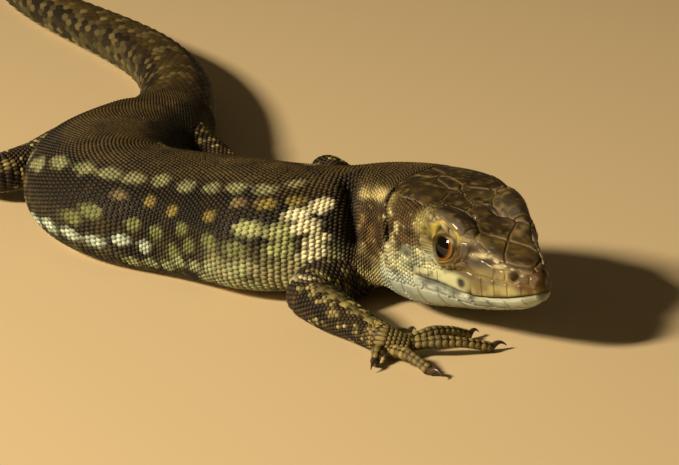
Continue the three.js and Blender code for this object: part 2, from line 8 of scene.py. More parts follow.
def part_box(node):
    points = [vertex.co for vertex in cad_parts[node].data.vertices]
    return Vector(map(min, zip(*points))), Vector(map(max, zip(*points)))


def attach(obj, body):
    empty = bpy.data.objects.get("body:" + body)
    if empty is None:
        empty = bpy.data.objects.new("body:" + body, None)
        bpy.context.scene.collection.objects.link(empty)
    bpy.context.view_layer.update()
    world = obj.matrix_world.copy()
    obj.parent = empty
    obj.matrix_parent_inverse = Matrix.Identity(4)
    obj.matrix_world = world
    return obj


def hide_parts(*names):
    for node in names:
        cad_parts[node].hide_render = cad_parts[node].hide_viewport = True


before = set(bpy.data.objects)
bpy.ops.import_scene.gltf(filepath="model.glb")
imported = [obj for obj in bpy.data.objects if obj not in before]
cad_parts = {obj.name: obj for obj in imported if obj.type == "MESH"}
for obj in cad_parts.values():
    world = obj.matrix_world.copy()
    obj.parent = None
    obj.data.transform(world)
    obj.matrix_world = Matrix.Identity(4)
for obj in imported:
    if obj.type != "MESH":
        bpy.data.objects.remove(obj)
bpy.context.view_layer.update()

# ---------------------------------------------------------------- camera
# A long macro lens looks down a little on the animal's right front. Lengths are in millimetres on
# the plane that the animal stands on, and the right eye ties that plane to the model's own frame.

MM = 0.001
CAMERA_AT = (0.0, -212.0, 72.6)
CAMERA_DIP = math.radians(18)
LENS_SHARE = 3335 / 679  # focal length over the width of the frame
RIGHT_EYE_AT = np.array((7.5346, -9.9796, 6.0112))

eye_low, eye_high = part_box("eye_right")
STAND = np.array((eye_low + eye_high) / 2) - RIGHT_EYE_AT * MM
STAND[2] = 0


def placed(points):
    """Points in metres in the model's frame, from millimetres on the standing plane."""
    return np.asarray(points, float) * MM + STAND


camera = bpy.data.objects.new("camera", bpy.data.cameras.new("camera"))
bpy.context.scene.collection.objects.link(camera)
camera.location = placed(CAMERA_AT)
camera.rotation_euler = (math.pi / 2 - CAMERA_DIP, 0, 0)
camera.data.sensor_width = 36
camera.data.lens = camera.data.sensor_width * LENS_SHARE
camera.data.clip_start = 0.01
bpy.context.scene.camera = camera

# ---------------------------------------------------------------- floor and light
# A level board painted pale and matt is the table. One warm lamp shines low from the left, and the
# walls of the room give back a weak warm light from all round.


def linear(colour):
    """Linear RGBA from an sRGB hex colour."""
    parts = [int(colour[i:i + 2], 16) / 255 for i in (1, 3, 5)]
    return tuple(c / 12.92 if c <= 0.04045 else ((c + 0.055) / 1.055)**2.4 for c in parts) + (1.0,)


def add(tree, kind, inputs=(), **settings):
    """A shader node with its settings; each input is a value or the socket that feeds it."""
    made = tree.nodes.new("ShaderNode" + kind)
    for name, value in settings.items():
        setattr(made, name, value)
    for name, value in dict(inputs).items():
        if isinstance(value, bpy.types.NodeSocket):
            tree.links.new(value, made.inputs[name])
        else:
            made.inputs[name].default_value = value
    return made


def new_material(name):
    """A material with its empty node tree and its output node."""
    material = bpy.data.materials.new(name)
    material.use_nodes = True
    material.node_tree.nodes.clear()
    return material, material.node_tree, material.node_tree.nodes.new("ShaderNodeOutputMaterial")


FLOOR_HALF = 1.5
floor_mesh = bpy.data.meshes.new("floor")
corners = [(-1, -1, 0), (1, -1, 0), (1, 1, 0), (-1, 1, 0)]
floor_mesh.from_pydata([Vector(c) * FLOOR_HALF for c in corners], [], [(0, 1, 2, 3)])
floor = bpy.data.objects.new("floor", floor_mesh)
bpy.context.scene.collection.objects.link(floor)
# Emulsion paint rolled on a board: its chalky film scatters light, so shadows show and nothing shines.
table_paint, tree, output = new_material("rolled emulsion paint")
matt = add(tree, "BsdfPrincipled", {"Base Color": linear("#c9b795"), "Roughness": 0.7})
tree.links.new(matt.outputs["BSDF"], output.inputs["Surface"])
floor_mesh.materials.append(table_paint)

LAMP_AT = (-260.0, -150.0, 190.0)
LAMP_SIZE = 50.0
LAMP_WATTS = 2.5
ROOM_STRENGTH = 0.12
lamp = bpy.data.objects.new("lamp", bpy.data.lights.new("lamp", "AREA"))
bpy.context.scene.collection.objects.link(lamp)
lamp.location = placed(LAMP_AT)
lamp.rotation_euler = (Vector(placed((0, 0, 0))) - lamp.location).to_track_quat("-Z", "Y").to_euler()
lamp.data.size = LAMP_SIZE * MM
lamp.data.energy = LAMP_WATTS
lamp.data.color = linear("#ffe8c0")[:3]
room = bpy.data.worlds.new("room")
bpy.context.scene.world = room
room.use_nodes = True
room.node_tree.nodes["Background"].inputs["Color"].default_value = linear("#ccb184")
room.node_tree.nodes["Background"].inputs["Strength"].default_value = ROOM_STRENGTH
bpy.context.scene.view_settings.view_transform = "Standard"

# ---------------------------------------------------------------- skin
# One soft hide runs from the snout to the tail tip with the legs growing out of it. It is thin,
# folded at the neck and round the eyes, and lies under the scales by the depth of the coat.

COAT = 0.14
NAPE_AT = 12.0
SHOULDER_AT = 20.0
VENT_AT = 60.0
TOTAL_LENGTH = 163.0
SNOUT = np.array((12.6, -14.9, 4.49))
HEAD_TURN = (-62.0, -4.0, 4.5)
SNOUT_BULGE, SNOUT_BULGE_UP = 0.12, 0.3
# By distance behind the snout: the heading of the back in degrees, the height of the middle line, and of
# each section its half width, its heights above and below that line, and how square it is.
HEADING = [(12, 118), (16.5, 155), (19.5, 168), (22.5, 158), (26, 143), (30, 148), (34.5, 149),
           (42, 101), (46, 84), (51.5, 72), (57, 74), (60.5, 82), (68, 93), (78, 105), (86, 117),
           (98, 120), (112, 108), (132, 84), (150, 68), (163, 62)]
LEVEL = [(12, 3.65), (17, 3.3), (22, 3.0), (50, 3.0), (60, 2.6), (70, 2.3), (90, 1.9), (115, 1.35),
         (140, 0.85), (163, 0.3)]
HALF_WIDTH = [(0, 0.6), (0.4, 1.05), (1, 1.4), (2, 1.85), (3.4, 2.4), (5, 3.0), (6.6, 3.4), (8.4, 3.95),
              (10.2, 4.3), (12, 4.45), (14, 4.3), (17, 4.2), (19.8, 4.45), (21.5, 5.4), (24, 6.3),
              (27, 6.2), (31, 5.9), (36, 5.85), (42, 5.8), (49, 5.4), (55, 4.5), (60, 3.7), (66, 3.1),
              (80, 2.5), (100, 1.95), (125, 1.3), (148, 0.72), (163, 0.3)]
ABOVE = [(0, 1.15), (0.4, 1.5), (1, 1.85), (2, 2.25), (3.4, 2.75), (5, 3.4), (6.6, 4.0), (8.4, 4.65),
         (10.2, 5.2), (12, 5.4), (14, 5.45), (17, 5.45), (20, 5.2), (23, 4.95), (28, 4.6), (35, 4.2),
         (44, 4.0), (52, 3.3), (60, 2.6), (70, 2.25), (90, 1.9), (115, 1.4), (140, 0.9), (163, 0.32)]
BELOW = [(0, 0.55), (0.4, 0.8), (1, 1.1), (2, 1.45), (4.5, 1.95), (8, 2.45), (10.5, 2.75), (13, 2.7),
         (18, 2.3), (21, 2.4), (25, 2.85), (30, 3.2), (52, 3.2), (60, 2.75), (90, 2.02), (115, 1.47),
         (140, 0.97), (163, 0.34)]
SQUARE_ABOVE = [(0, 2.3), (3, 3.6), (5, 4.2), (6.6, 5.3), (8.4, 5.8), (10.4, 5.0), (13, 3.4), (20, 2.3),
                (163, 2.1)]
SQUARE_BELOW = [(0, 2), (8, 2.7), (13, 2.8), (19, 2.3), (23, 3.2), (28, 3.0), (36, 2.8), (42, 2.3),
                (50, 2.7), (66, 2.3), (163, 2.2)]


def smooth(table, at):
    """Smooth curve through (place, value) pairs, level beyond both ends."""
    place, value = np.array(table, float).T
    at = np.clip(at, place[0], place[-1])
    i = np.clip(np.searchsorted(place, at) - 1, 0, len(place) - 2)
    order = np.arange(len(place))
    before, after = np.maximum(order - 1, 0), np.minimum(order + 1, len(place) - 1)
    slope = (value[after] - value[before]) / (place[after] - place[before])
    h = place[i + 1] - place[i]
    t = (at - place[i]) / h
    ends = value[i] * (2 * t**3 - 3 * t**2 + 1) + value[i + 1] * (3 * t**2 - 2 * t**3)
    return ends + h * (slope[i] * (t**3 - 2 * t**2 + t) + slope[i + 1] * (t**3 - t**2))


def rise(low, high, x):
    """0 below low, 1 above high, with a smooth step between."""
    t = np.clip((x - low) / (high - low), 0, 1)
    return t * t * (3 - 2 * t)


def band(low, full, still, end, x):
    """0 outside low and end, 1 from full to still, with smooth steps between."""
    return rise(low, full, x) * (1 - rise(still, end, x))


def hump(x, middle, width):
    return np.exp(-((x - middle) / width)**2)


def mix(a, b, share):
    return a + (b - a) * share


def turned(yaw, pitch, roll):
    """Forward, left and up axes after turns in degrees."""
    y, p, r = np.broadcast_arrays(np.radians(yaw), np.radians(pitch), np.radians(roll))
    cy, sy, cp, sp, cr, sr = np.cos(y), np.sin(y), np.cos(p), np.sin(p), np.cos(r), np.sin(r)
    forward = np.stack([cy * cp, sy * cp, -sp], -1)
    left = np.stack([cy * sp * sr - sy * cr, sy * sp * sr + cy * cr, cp * sr], -1)
    up = np.stack([cy * sp * cr + sy * sr, sy * sp * cr - cy * sr, cp * cr], -1)
    return forward, left, up


# The route of the back behind the nape, walked in short steps as the solids walk it.
ROUTE_STEP = 0.25
head_forward, head_left, head_up = turned(*HEAD_TURN)
walked_at = np.arange(NAPE_AT, TOTAL_LENGTH + 1, ROUTE_STEP)
walked = np.radians(smooth(HEADING, walked_at + ROUTE_STEP / 2))
nape = SNOUT - NAPE_AT * head_forward
route = nape[:2] + ROUTE_STEP * np.cumsum(np.stack([np.cos(walked), np.sin(walked)], -1), 0)
route = np.vstack([nape[:2], route])
route_at = NAPE_AT + ROUTE_STEP * np.arange(len(route))


def section(at):
    """Centre, left and up axes of the body's sections at distances from the snout."""
    at = np.asarray(at, float)
    yaw, pitch, roll = HEAD_TURN
    level = 1 - rise(NAPE_AT, SHOULDER_AT, at)
    yaw = np.where(at <= NAPE_AT, yaw, smooth(HEADING, at) - 180)
    _, left, up = turned(yaw, pitch * level, roll * level)
    on_route = [np.interp(at, route_at, route[:, 0]), np.interp(at, route_at, route[:, 1]),
                smooth(LEVEL, at)]
    in_head = SNOUT - at[..., None] * head_forward
    return np.where((at <= NAPE_AT)[..., None], in_head, np.stack(on_route, -1)), left, up


OUTLINE_POINTS = 1441


def half_outline(at, shares, grow):
    """Out and up from a section's centre, evenly along the girth from back (0) to belly (1)."""
    angles = np.linspace(math.pi / 2, -math.pi / 2, OUTLINE_POINTS)
    c, s = np.abs(np.cos(angles)), np.sin(angles)
    power = 2 / np.where(s > 0, smooth(SQUARE_ABOVE, at), smooth(SQUARE_BELOW, at))
    out = (smooth(HALF_WIDTH, at) + grow) * c**power
    up = (np.where(s > 0, smooth(ABOVE, at), smooth(BELOW, at)) + grow) * np.sign(s) * np.abs(s)**power
    closing = math.sqrt(max(0.0, 1 - (min(at, 0) / SNOUT_BULGE)**2))
    out, up = out * closing, up * closing + SNOUT_BULGE_UP * (1 - closing)
    run = np.concatenate([[0], np.cumsum(np.hypot(np.diff(out), np.diff(up)))])
    run += 1e-9 * np.arange(len(run))
    return np.interp(shares * run[-1], run, out), np.interp(shares * run[-1], run, up), run[-1]


# What the flesh adds to the plain sections of the head: brows, lids, nostrils, gape and ears.
EYE = {"at": 6.6, "out": 2.0, "up": 2.15}
EYE_RADIUS = 1.5
BROW = {"at": 6.2, "long": 2.8, "turn": 59, "inner": 11, "outer": 17, "high": 0.8}
LIDS = {**EYE, "long": 1.92, "wide": 1.72, "high": 1.7}
OPENING = {"at": 6.5, "up": 2.5, "long": 1.15, "high": 0.84}
LID_THICKNESS = 0.13
NOSTRIL = {"at": 1.15, "up": 1.15, "long": 0.26, "high": 0.22}
EAR_LINE = [(1.7, 11.7), (2.4, 11.9), (2.9, 12.0), (3.45, 12.2), (3.9, 12.75), (4.25, 13.3),
            (4.55, 13.5), (5.0, 13.6)]
CANTHUS_RIDGE = [(1.1, 1.42), (3.1, 2.1), (4.25, 2.66)]
MOUTH = [(0, 0.05), (2, -0.36), (4.1, -0.52), (5.2, -0.38), (6.8, -0.1), (9.2, 0.15)]
MOUTH_CORNER_AT = 9.2


def leaving(ball, at, out, up):
    """How far a ray from the head's middle line through (out, up) runs before it leaves an ellipsoid."""
    far = np.hypot(out, up) + 1e-9
    u, v = out / far, up / far
    slice_share = np.sqrt(np.clip(1 - ((at - ball["at"]) / ball["long"])**2, 1e-6, 1))
    wide, high = ball["wide"] * slice_share, ball["high"] * slice_share
    a = (u / wide)**2 + (v / high)**2
    b = u * ball["out"] / wide**2 + v * ball["up"] / high**2
    c = (ball["out"] / wide)**2 + (ball["up"] / high)**2 - 1
    inside = np.where(np.abs(at - ball["at"]) < 0.98 * ball["long"], b * b - a * c, -1)
    return np.where(inside > 0, (b + np.sqrt(np.maximum(inside, 0))) / a, 0)


def larger(a, b, soft):
    """The larger of two heights, rounded where they meet."""
    return np.maximum(a, b) + np.clip(soft - np.abs(a - b), 0, None)**2 / (4 * soft)


def in_oval(oval, at, up):
    """1 on the rim of an oval on the side of the head, less inside and more outside."""
    return np.hypot((at - oval["at"]) / oval["long"], (up - oval["up"]) / oval["high"])


def head_relief(at, out, up):
    """The head's outline with its flesh, as out and up."""
    far = np.hypot(out, up) + 1e-9
    ball = lambda radius: {**EYE, "long": radius, "wide": radius, "high": radius}
    turn = np.degrees(np.arctan2(up, out))
    reach = np.clip(1 - ((at - BROW["at"]) / BROW["long"])**2, 0, 1)
    breadth = np.where(turn > BROW["turn"], BROW["inner"], BROW["outer"])
    made = far + BROW["high"] * reach * hump(turn, BROW["turn"], breadth)
    mound = larger(made, leaving(LIDS, at, out, up), 0.4)
    ring = in_oval(OPENING, at, up * mound / far)
    lid = leaving(ball(EYE_RADIUS + LID_THICKNESS), at, out, up)
    lid = np.where(lid > 0, lid, mound) + 0.06 * hump(ring, 1.13, 0.09)
    under = leaving(ball(EYE_RADIUS - 0.35), at, out, up)
    under = np.where(under > 0, under, mound * 0.8)
    folds = 0.03 * np.cos((ring - 1.13) * 2 * math.pi / 0.2) * band(1.1, 1.3, 1.5, 1.8, ring)
    folds *= 1 - rise(OPENING["up"] - 0.6, OPENING["up"] + 0.1, up * mound / far)
    made = mix(mix(under, lid, rise(0.97, 1.03, ring)), mound, rise(1.25, 1.75, ring)) + folds
    nostril = np.where(out > 0.5, in_oval(NOSTRIL, at, up), 9)
    made += 0.05 * hump(nostril, 1.35, 0.3) - 0.4 * (1 - rise(0.6, 1.1, nostril))
    gape = up - smooth(MOUTH, at)
    closed = rise(MOUTH_CORNER_AT - 0.4, MOUTH_CORNER_AT, at)
    made -= 0.2 * hump(gape, 0, 0.07) * (1 - closed) * rise(0, 1, far)
    off_ear = at - smooth(EAR_LINE, up)
    made -= 0.4 * hump(off_ear, 0, 0.3) * band(1.6, 2.1, 4.7, 5.1, up)
    made -= 0.4 * hump(off_ear, 0, 0.32) * band(2.0, 2.5, 3.5, 4.0, up)
    made += 0.12 * hump(off_ear, 0.6, 0.4) * band(1.6, 2.1, 4.7, 5.1, up)
    made += 0.18 * hump(at, 11.2, 1.6) * hump(up, 0.7, 1.4)
    ridge = np.interp(at, *zip(*CANTHUS_RIDGE))
    along = band(0.8, 1.6, 4.0, 5.0, at)
    made += along * (0.09 * hump(up, ridge, 0.22) - 0.1 * hump(up, ridge - 0.62, 0.3))
    return out * made / far, up * made / far


def tube_faces(count, sides):
    """Triangles of a tube of rings, fanned shut at two end points that follow the rings."""
    k = np.arange(sides)
    following = (k + 1) % sides
    near, last = count * sides, (count - 1) * sides
    a = (np.arange(count - 1)[:, None] * sides + k).ravel()
    b = (np.arange(count - 1)[:, None] * sides + following).ravel()
    return np.concatenate([np.stack([a, a + sides, b], -1), np.stack([b, a + sides, b + sides], -1),
                           np.stack([np.full(sides, near), k, following], -1),
                           np.stack([np.full(sides, near + 1), last + following, last + k], -1)])


class Sheet:
    """A closed surface by rows along it and columns from -1 to 1 round it, with its points and normals."""

    def __init__(self, rows, columns, points):
        self.rows, self.columns, self.points = rows, columns, points
        along = np.gradient(points, rows, axis=0)
        across = np.gradient(points, columns, axis=1)
        seam = (points[:, 1] - points[:, -2]) / (2 * (columns[1] - columns[0]))
        across[:, 0] = across[:, -1] = seam
        normals = np.cross(across, along)
        self.normals = normals / np.maximum(np.linalg.norm(normals, axis=-1, keepdims=True), 1e-12)
        self.around = np.linalg.norm(np.diff(points, axis=1), axis=2).sum(1) / 2

    def half_girth(self, row):
        """Half the way round the surface at rows."""
        return np.interp(row, self.rows, self.around)

    def on(self, row, column, lift=0.0):
        """Points at the coordinates, raised by lift along the normal."""
        column = (column + 1) % 2 - 1
        r = np.interp(row, self.rows, np.arange(len(self.rows)))
        c = np.interp(column, self.columns, np.arange(len(self.columns)))
        i = np.minimum(r.astype(int), len(self.rows) - 2)
        j = np.minimum(c.astype(int), len(self.columns) - 2)
        u, v = (r - i)[..., None], (c - j)[..., None]
        corners = ((i, j, (1 - u) * (1 - v)), (i + 1, j, u * (1 - v)), (i, j + 1, (1 - u) * v),
                   (i + 1, j + 1, u * v))
        point = sum(self.points[a, b] * share for a, b, share in corners)
        normal = sum(self.normals[a, b] * share for a, b, share in corners)
        normal /= np.maximum(np.linalg.norm(normal, axis=-1, keepdims=True), 1e-12)
        return point + np.asarray(lift)[..., None] * normal

    def tube(self):
        """Vertices and triangles with the two ends fanned shut, and each vertex's coordinates."""
        points = self.points[:, :-1]
        ends = np.stack([points[0].mean(0), points[-1].mean(0)])
        coordinates = np.stack(np.meshgrid(self.rows, self.columns[:-1], indexing="ij"), -1).reshape(-1, 2)
        return (np.concatenate([points.reshape(-1, 3), ends]), tube_faces(*points.shape[:2]),
                np.concatenate([coordinates, coordinates[[0, -1]]]))


HEAD_STEP, BODY_STEP, HEAD_END = 0.06, 0.25, 15
TIP_ROWS = SNOUT_BULGE * -np.cos(np.linspace(0, math.pi / 2, 12, endpoint=False))
BODY_ROWS = np.arange(HEAD_END, TOTAL_LENGTH + 0.01, BODY_STEP)
rows = np.concatenate([TIP_ROWS, np.arange(0, HEAD_END, HEAD_STEP), BODY_ROWS])
SHARES = np.linspace(0, 1, 201)
plain_sections = [half_outline(at, SHARES, -COAT) for at in rows]
plain_out, plain_up, half_girth = (np.array(each) for each in zip(*plain_sections))
at_grid = rows[:, None] * np.ones(len(SHARES))
head_out, head_up_grid = head_relief(at_grid, plain_out, plain_up)
is_head = 1 - rise(13.6, HEAD_END, at_grid)
out, up = mix(plain_out, head_out, is_head), mix(plain_up, head_up_grid, is_head)
NECK_FOLD = {"at": 19.1, "lean": -2.6, "wide": 0.62, "deep": 0.95}
fold_at = NECK_FOLD["at"] + NECK_FOLD["lean"] * (SHARES - 0.22)
fold = hump(at_grid, fold_at, NECK_FOLD["wide"]) * band(0.06, 0.16, 0.45, 0.62, SHARES)
swell = hump(at_grid, fold_at + 1.1, 0.7) * band(0.1, 0.2, 0.4, 0.6, SHARES)


def body_points():
    """The body's points, right half and left half joined over the back."""
    centre, left, upward = section(rows)
    halves = []
    for side in (-1, 1):
        far = np.hypot(out, up) + 1e-9
        near = far - (NECK_FOLD["deep"] * fold - 0.12 * swell if side < 0 else 0)
        across, above = side * out * near / far, up * near / far
        halves.append(centre[:, None] + across[..., None] * left[:, None]
                      + above[..., None] * upward[:, None])
    right, left_half = halves
    return np.concatenate([right[:, :0:-1], left_half], 1)


body = Sheet(rows, np.concatenate([-SHARES[:0:-1], SHARES]), body_points())

# The legs: shoulder or hip, elbow or knee and wrist or ankle, with the radius at each; length, half width
# and half thickness of the palm; and heading, curl, length and height of each digit.
LEGS = {
    "right_arm": {"joints": [(0.9, -2.9, 1.6), (-2.3, -7.0, 1.75), (2.7, -13.8, 1.15)],
                  "radii": (1.6, 1.5, 1.0),
                  "palm": (1.9, 1.05, 0.55),
                  "digits": [(62, 0, 4.4, 0.75), (16, 36, 7.2, 1.2), (-5, 34, 7.9, 0.95),
                             (-53, 6, 5.5, 0.7), (-103, 0, 3.0, 0.6)]},
    "left_arm": {"joints": [(0.2, 3.6, 3.8), (-1.0, 9.6, 5.2), (6.6, 5.6, 1.15)], "radii": (1.7, 1.3, 0.8),
                 "palm": (1.9, 1.05, 0.55),
                 "digits": [(-98, 0, 4.0, 0.6), (-68, -8, 6.2, 0.8), (-42, 0, 7.4, 0.9),
                            (-16, 8, 7.4, 0.9), (24, 6, 5.0, 0.7)]},
    "right_leg": {"joints": [(-15.8, 25.6, 2.8), (-24.6, 18.0, 2.3), (-30.6, 23.4, 1.25)],
                  "radii": (2.1, 1.45, 0.9),
                  "palm": (3.2, 1.15, 0.6),
                  "digits": [(-100, 0, 6.2, 0.7), (-116, -4, 8.6, 0.9), (-130, -8, 11.2, 1.0),
                             (-142, -12, 13.8, 1.0), (-176, -6, 8.2, 0.8)]},
    "left_leg": {"joints": [(-12.8, 26.2, 2.8), (-7.0, 16.6, 1.9), (-1.6, 19.6, 1.2)],
                 "radii": (2.1, 1.4, 0.9),
                 "palm": (3.2, 1.15, 0.6),
                 "digits": [(-94, 0, 6.2, 0.7), (-76, 4, 8.6, 0.9), (-60, 8, 11.2, 1.0),
                            (-46, 12, 13.8, 1.0), (-12, 6, 8.2, 0.8)]},
}
DIGIT_RADII, DIGIT_REST, DIGIT_SWELL, CLAW_LENGTH = (0.44, 0.3), 0.27, 0.08, 1.1
LIMB_STEP, LIMB_SIDES, PALM_SIDES, DIGIT_SIDES = 0.12, 56, 28, 20
BEND, MUSCLE, FILLET = 0.9, 0.1, 1.6
CUFF, CUFF_ROWS, PALM_ROWS, PALM_TAPER = (0.9, 0.12), 5, 16, (0.97, 0.9, 0.75, 0.5)
DIGIT_STEPS, DIGIT_THINNER = 60, 0.05


def tube_sheet(path, radii, sides, flatten=1.0):
    """A sheet round a path of points, its rows in millimetres along the path."""
    path, radii = np.asarray(path, float), np.asarray(radii, float)
    along = np.gradient(path, axis=0)
    along /= np.linalg.norm(along, axis=1, keepdims=True)
    side = np.cross(along, (0, 0, 1))
    side /= np.linalg.norm(side, axis=1, keepdims=True)
    upward = np.cross(side, along)
    columns = np.linspace(-1, 1, sides + 1)
    c, s = np.cos(math.pi * columns), np.sin(math.pi * columns)
    flatten = np.broadcast_to(flatten, len(path))[:, None, None]
    reach = radii[:, None, None] * (c[:, None] * upward[:, None] * flatten + s[:, None] * side[:, None])
    points = path[:, None] + reach
    rows = np.concatenate([[0], np.cumsum(np.linalg.norm(np.diff(path, axis=0), axis=1))])
    return Sheet(rows, columns, points)


def walked_path(joints, radii):
    """Points every step along the joints with the bends rounded, the radius at each, and the way walked."""
    joints = np.array(joints, float)
    run = np.concatenate([[0], np.cumsum(np.linalg.norm(np.diff(joints, axis=0), axis=1))])
    at = np.linspace(0, run[-1], int(run[-1] / LIMB_STEP) + 1)
    line = lambda x: np.stack([np.interp(x, run, joints[:, k]) for k in range(3)], -1)
    room = np.minimum(np.minimum(at, run[-1] - at), BEND)
    points = np.mean([line(at + room * share) for share in np.linspace(-1, 1, 15)], 0)
    return points, np.interp(at, run, radii), at, run


limbs = {}
for name, leg in LEGS.items():
    path, radius, at, run = walked_path(leg["joints"], leg["radii"])
    upper_muscle, lower_muscle = hump(at, run[1] * 0.55, 1.6), hump(at, mix(run[1], run[2], 0.35), 1.8)
    radius = radius * (1 + MUSCLE * upper_muscle + MUSCLE * lower_muscle)
    limbs[name] = {"path": path, "radius": radius - COAT,
                   "sheet": tube_sheet(path, radius - COAT, LIMB_SIDES),
                   "knee": run[1], "end": run[2]}


def off_tube(points, limb):
    """Distance of points from a limb's plain round skin."""
    flat = points.reshape(-1, 3)
    made = np.full(len(flat), 99.0)
    low, high = limb["path"].min(0) - 6, limb["path"].max(0) + 6
    near = np.where(((flat > low) & (flat < high)).all(1))[0]
    for start in range(0, len(near), 20000):
        some = near[start:start + 20000]
        apart = np.linalg.norm(flat[some, None] - limb["path"][None, ::3], axis=2) - limb["radius"][::3]
        made[some] = apart.min(1)
    return made.reshape(points.shape[:-1])


def depth_under(sheet, points):
    """Distance of points from a sheet, by every other point of it and positive outside."""
    ground = sheet.points[::2, ::2].reshape(-1, 3)
    normals = sheet.normals[::2, ::2].reshape(-1, 3)
    tree = kdtree.KDTree(len(ground))
    for i, point in enumerate(ground):
        tree.insert(point, i)
    tree.balance()
    flat = points.reshape(-1, 3)
    nearest = np.array([tree.find(point)[1] for point in flat])
    return ((flat - ground[nearest]) * normals[nearest]).sum(1).reshape(points.shape[:-1])


def filleted(sheet, off):
    """The sheet raised where another surface is near, so that the two flow together."""
    lift = FILLET / 4 * np.clip(1 - np.abs(off) / FILLET, 0, 1)**2
    return Sheet(sheet.rows, sheet.columns, sheet.points + lift[..., None] * sheet.normals)


for limb in limbs.values():
    limb["sheet"] = filleted(limb["sheet"], depth_under(body, limb["sheet"].points))
for limb in limbs.values():
    body = filleted(body, off_tube(body.points, limb))
for sheet in [body] + [limb["sheet"] for limb in limbs.values()]:
    sheet.points[..., 2] = np.maximum(sheet.points[..., 2], 0.0)

digits, palms = {}, {}
for name, leg in LEGS.items():
    wrist, elbow = np.array(leg["joints"][2]), np.array(leg["joints"][1])
    reach, wide, thick = leg["palm"]
    middle = math.radians(leg["digits"][2][0])
    back = (elbow - wrist) / np.linalg.norm(elbow - wrist)
    t = np.linspace(0, 1, PALM_ROWS)[:, None]
    pad = wrist + np.array((math.cos(middle), math.sin(middle), 0)) * reach * t
    pad[:, 2] = mix(wrist[2], thick, t[:, 0])
    cuff = wrist + back * np.linspace(*CUFF, CUFF_ROWS)[:, None]
    path = np.concatenate([cuff, pad])
    width = np.concatenate([np.full(CUFF_ROWS, leg["radii"][2]),
                            mix(leg["radii"][2], wide, np.sin(math.pi / 2 * t[:, 0]))])
    width[-len(PALM_TAPER):] *= PALM_TAPER
    flat = np.concatenate([np.ones(CUFF_ROWS), mix(1, thick / wide, t[:, 0])])
    palms[name] = tube_sheet(path, width - COAT / 2, PALM_SIDES, flat)
    palms[name].points[..., 2] = np.maximum(palms[name].points[..., 2], 0.0)
    for i, (heading, curl, length, lift) in enumerate(leg["digits"]):
        t = np.linspace(0, 1, DIGIT_STEPS + 1)
        turn = np.radians(heading + curl * t**2)
        steps = (length - CLAW_LENGTH) / DIGIT_STEPS * np.stack([np.cos(turn), np.sin(turn)], -1)
        root = wrist[:2] + np.array((math.cos(turn[0]), math.sin(turn[0]))) * wide * 0.3
        flat_path = np.vstack([root, root + np.cumsum(steps[1:], 0)])
        height = mix(thick + 0.1, DIGIT_REST, t) + (lift - DIGIT_REST) * 0.8 * np.sin(math.pi * t**1.3)
        radius = mix(*DIGIT_RADII, t) + DIGIT_SWELL * np.maximum(0, np.cos(4 * math.pi * t))
        radius = radius * np.sqrt(np.clip((1.03 - t) / 0.08, 0, 1))
        path = np.column_stack([flat_path, height])
        digits[name, i] = {"path": path, "turn": turn[-1],
                           "sheet": tube_sheet(path, radius - DIGIT_THINNER, DIGIT_SIDES)}


def hashed(whole, seed):
    """A repeatable number from 0 to 1 for each whole number, or for each row of whole numbers."""
    whole = np.asarray(whole, np.int64)
    whole = whole if whole.ndim > 1 else whole[:, None]
    mixed = np.full(whole.shape[0], seed * 7919 + 17, np.uint64)
    for k in range(whole.shape[1]):
        mixed = (mixed ^ whole[:, k].astype(np.uint64)) * np.uint64(0x9E3779B97F4A7C15)
        mixed ^= mixed >> np.uint64(29)
    return (mixed >> np.uint64(11)).astype(float) / 2**53


def noise(points, size, seed=0):
    """Smooth noise from -1 to 1 with lumps of a given size."""
    points = np.asarray(points, float) / size
    base = np.floor(points).astype(np.int64)
    t = points - base
    t = t * t * (3 - 2 * t)
    made = 0
    for corner in np.ndindex(*(2,) * points.shape[1]):
        share = np.prod(np.where(corner, t, 1 - t), axis=1)
        made = made + share * hashed(base + corner, seed)
    return made * 2 - 1


def spots(along, across, pitch, radius, jitter, seed, presence=1.0):
    """How far inside the nearest spot of a loose lattice each place lies: 1 in the middle, 0 outside."""
    pitch_along, pitch_across = pitch
    a, b = along / pitch_along, across / pitch_across
    best = np.zeros(len(a))
    for i in (-1, 0, 1):
        for j in (-1, 0, 1):
            cell = np.stack([np.floor(a) + i, np.floor(b) + j], -1).astype(np.int64)
            shift_a = (hashed(cell, seed) - 0.5) * jitter + 0.5
            shift_b = (hashed(cell, seed + 1) - 0.5) * jitter + 0.5
            size = radius * (0.7 + 0.6 * hashed(cell, seed + 2)) * (hashed(cell, seed + 3) < presence)
            apart = np.hypot((cell[:, 0] + shift_a - a) * pitch_along,
                             (cell[:, 1] + shift_b - b) * pitch_across)
            best = np.maximum(best, np.clip(1.6 - 1.3 * apart / np.maximum(size, 1e-6), 0, 1))
    return best


def blots(points, size, seed, gain, lift, most=1):
    """Patches from 0 to most out of noise, steeper by the gain and more of them by the lift."""
    return np.clip(gain * noise(points, size, seed) + lift, 0, most)


def over(base, *coats):
    """Colours laid over a base one after another, each by a share for each point."""
    for colour, share in coats:
        base = base + (np.array(linear(colour)[:3]) - base) * np.clip(share, 0, 1)[:, None]
    return base


def flat_colour(colour, count):
    """One colour for each of so many points."""
    return np.tile(np.array(linear(colour)[:3]), (count, 1))


# Rows of spots along the hind flank: girth from the back, radius and pitch in mm, colour, seed, strength.
FLANK_SPOTS = [(3.75, 0.68, 1.88, "#7b7c5e", 10, 0.9), (5.3, 0.45, 1.75, "#5f5434", 20, 0.7),
               (6.8, 0.55, 1.95, "#6b683c", 30, 0.8), (8.05, 0.66, 2.05, "#767d58", 40, 0.85),
               (9.35, 0.78, 1.95, "#9cab9c", 50, 0.95), (10.6, 0.7, 2.0, "#8b9282", 55, 0.75)]
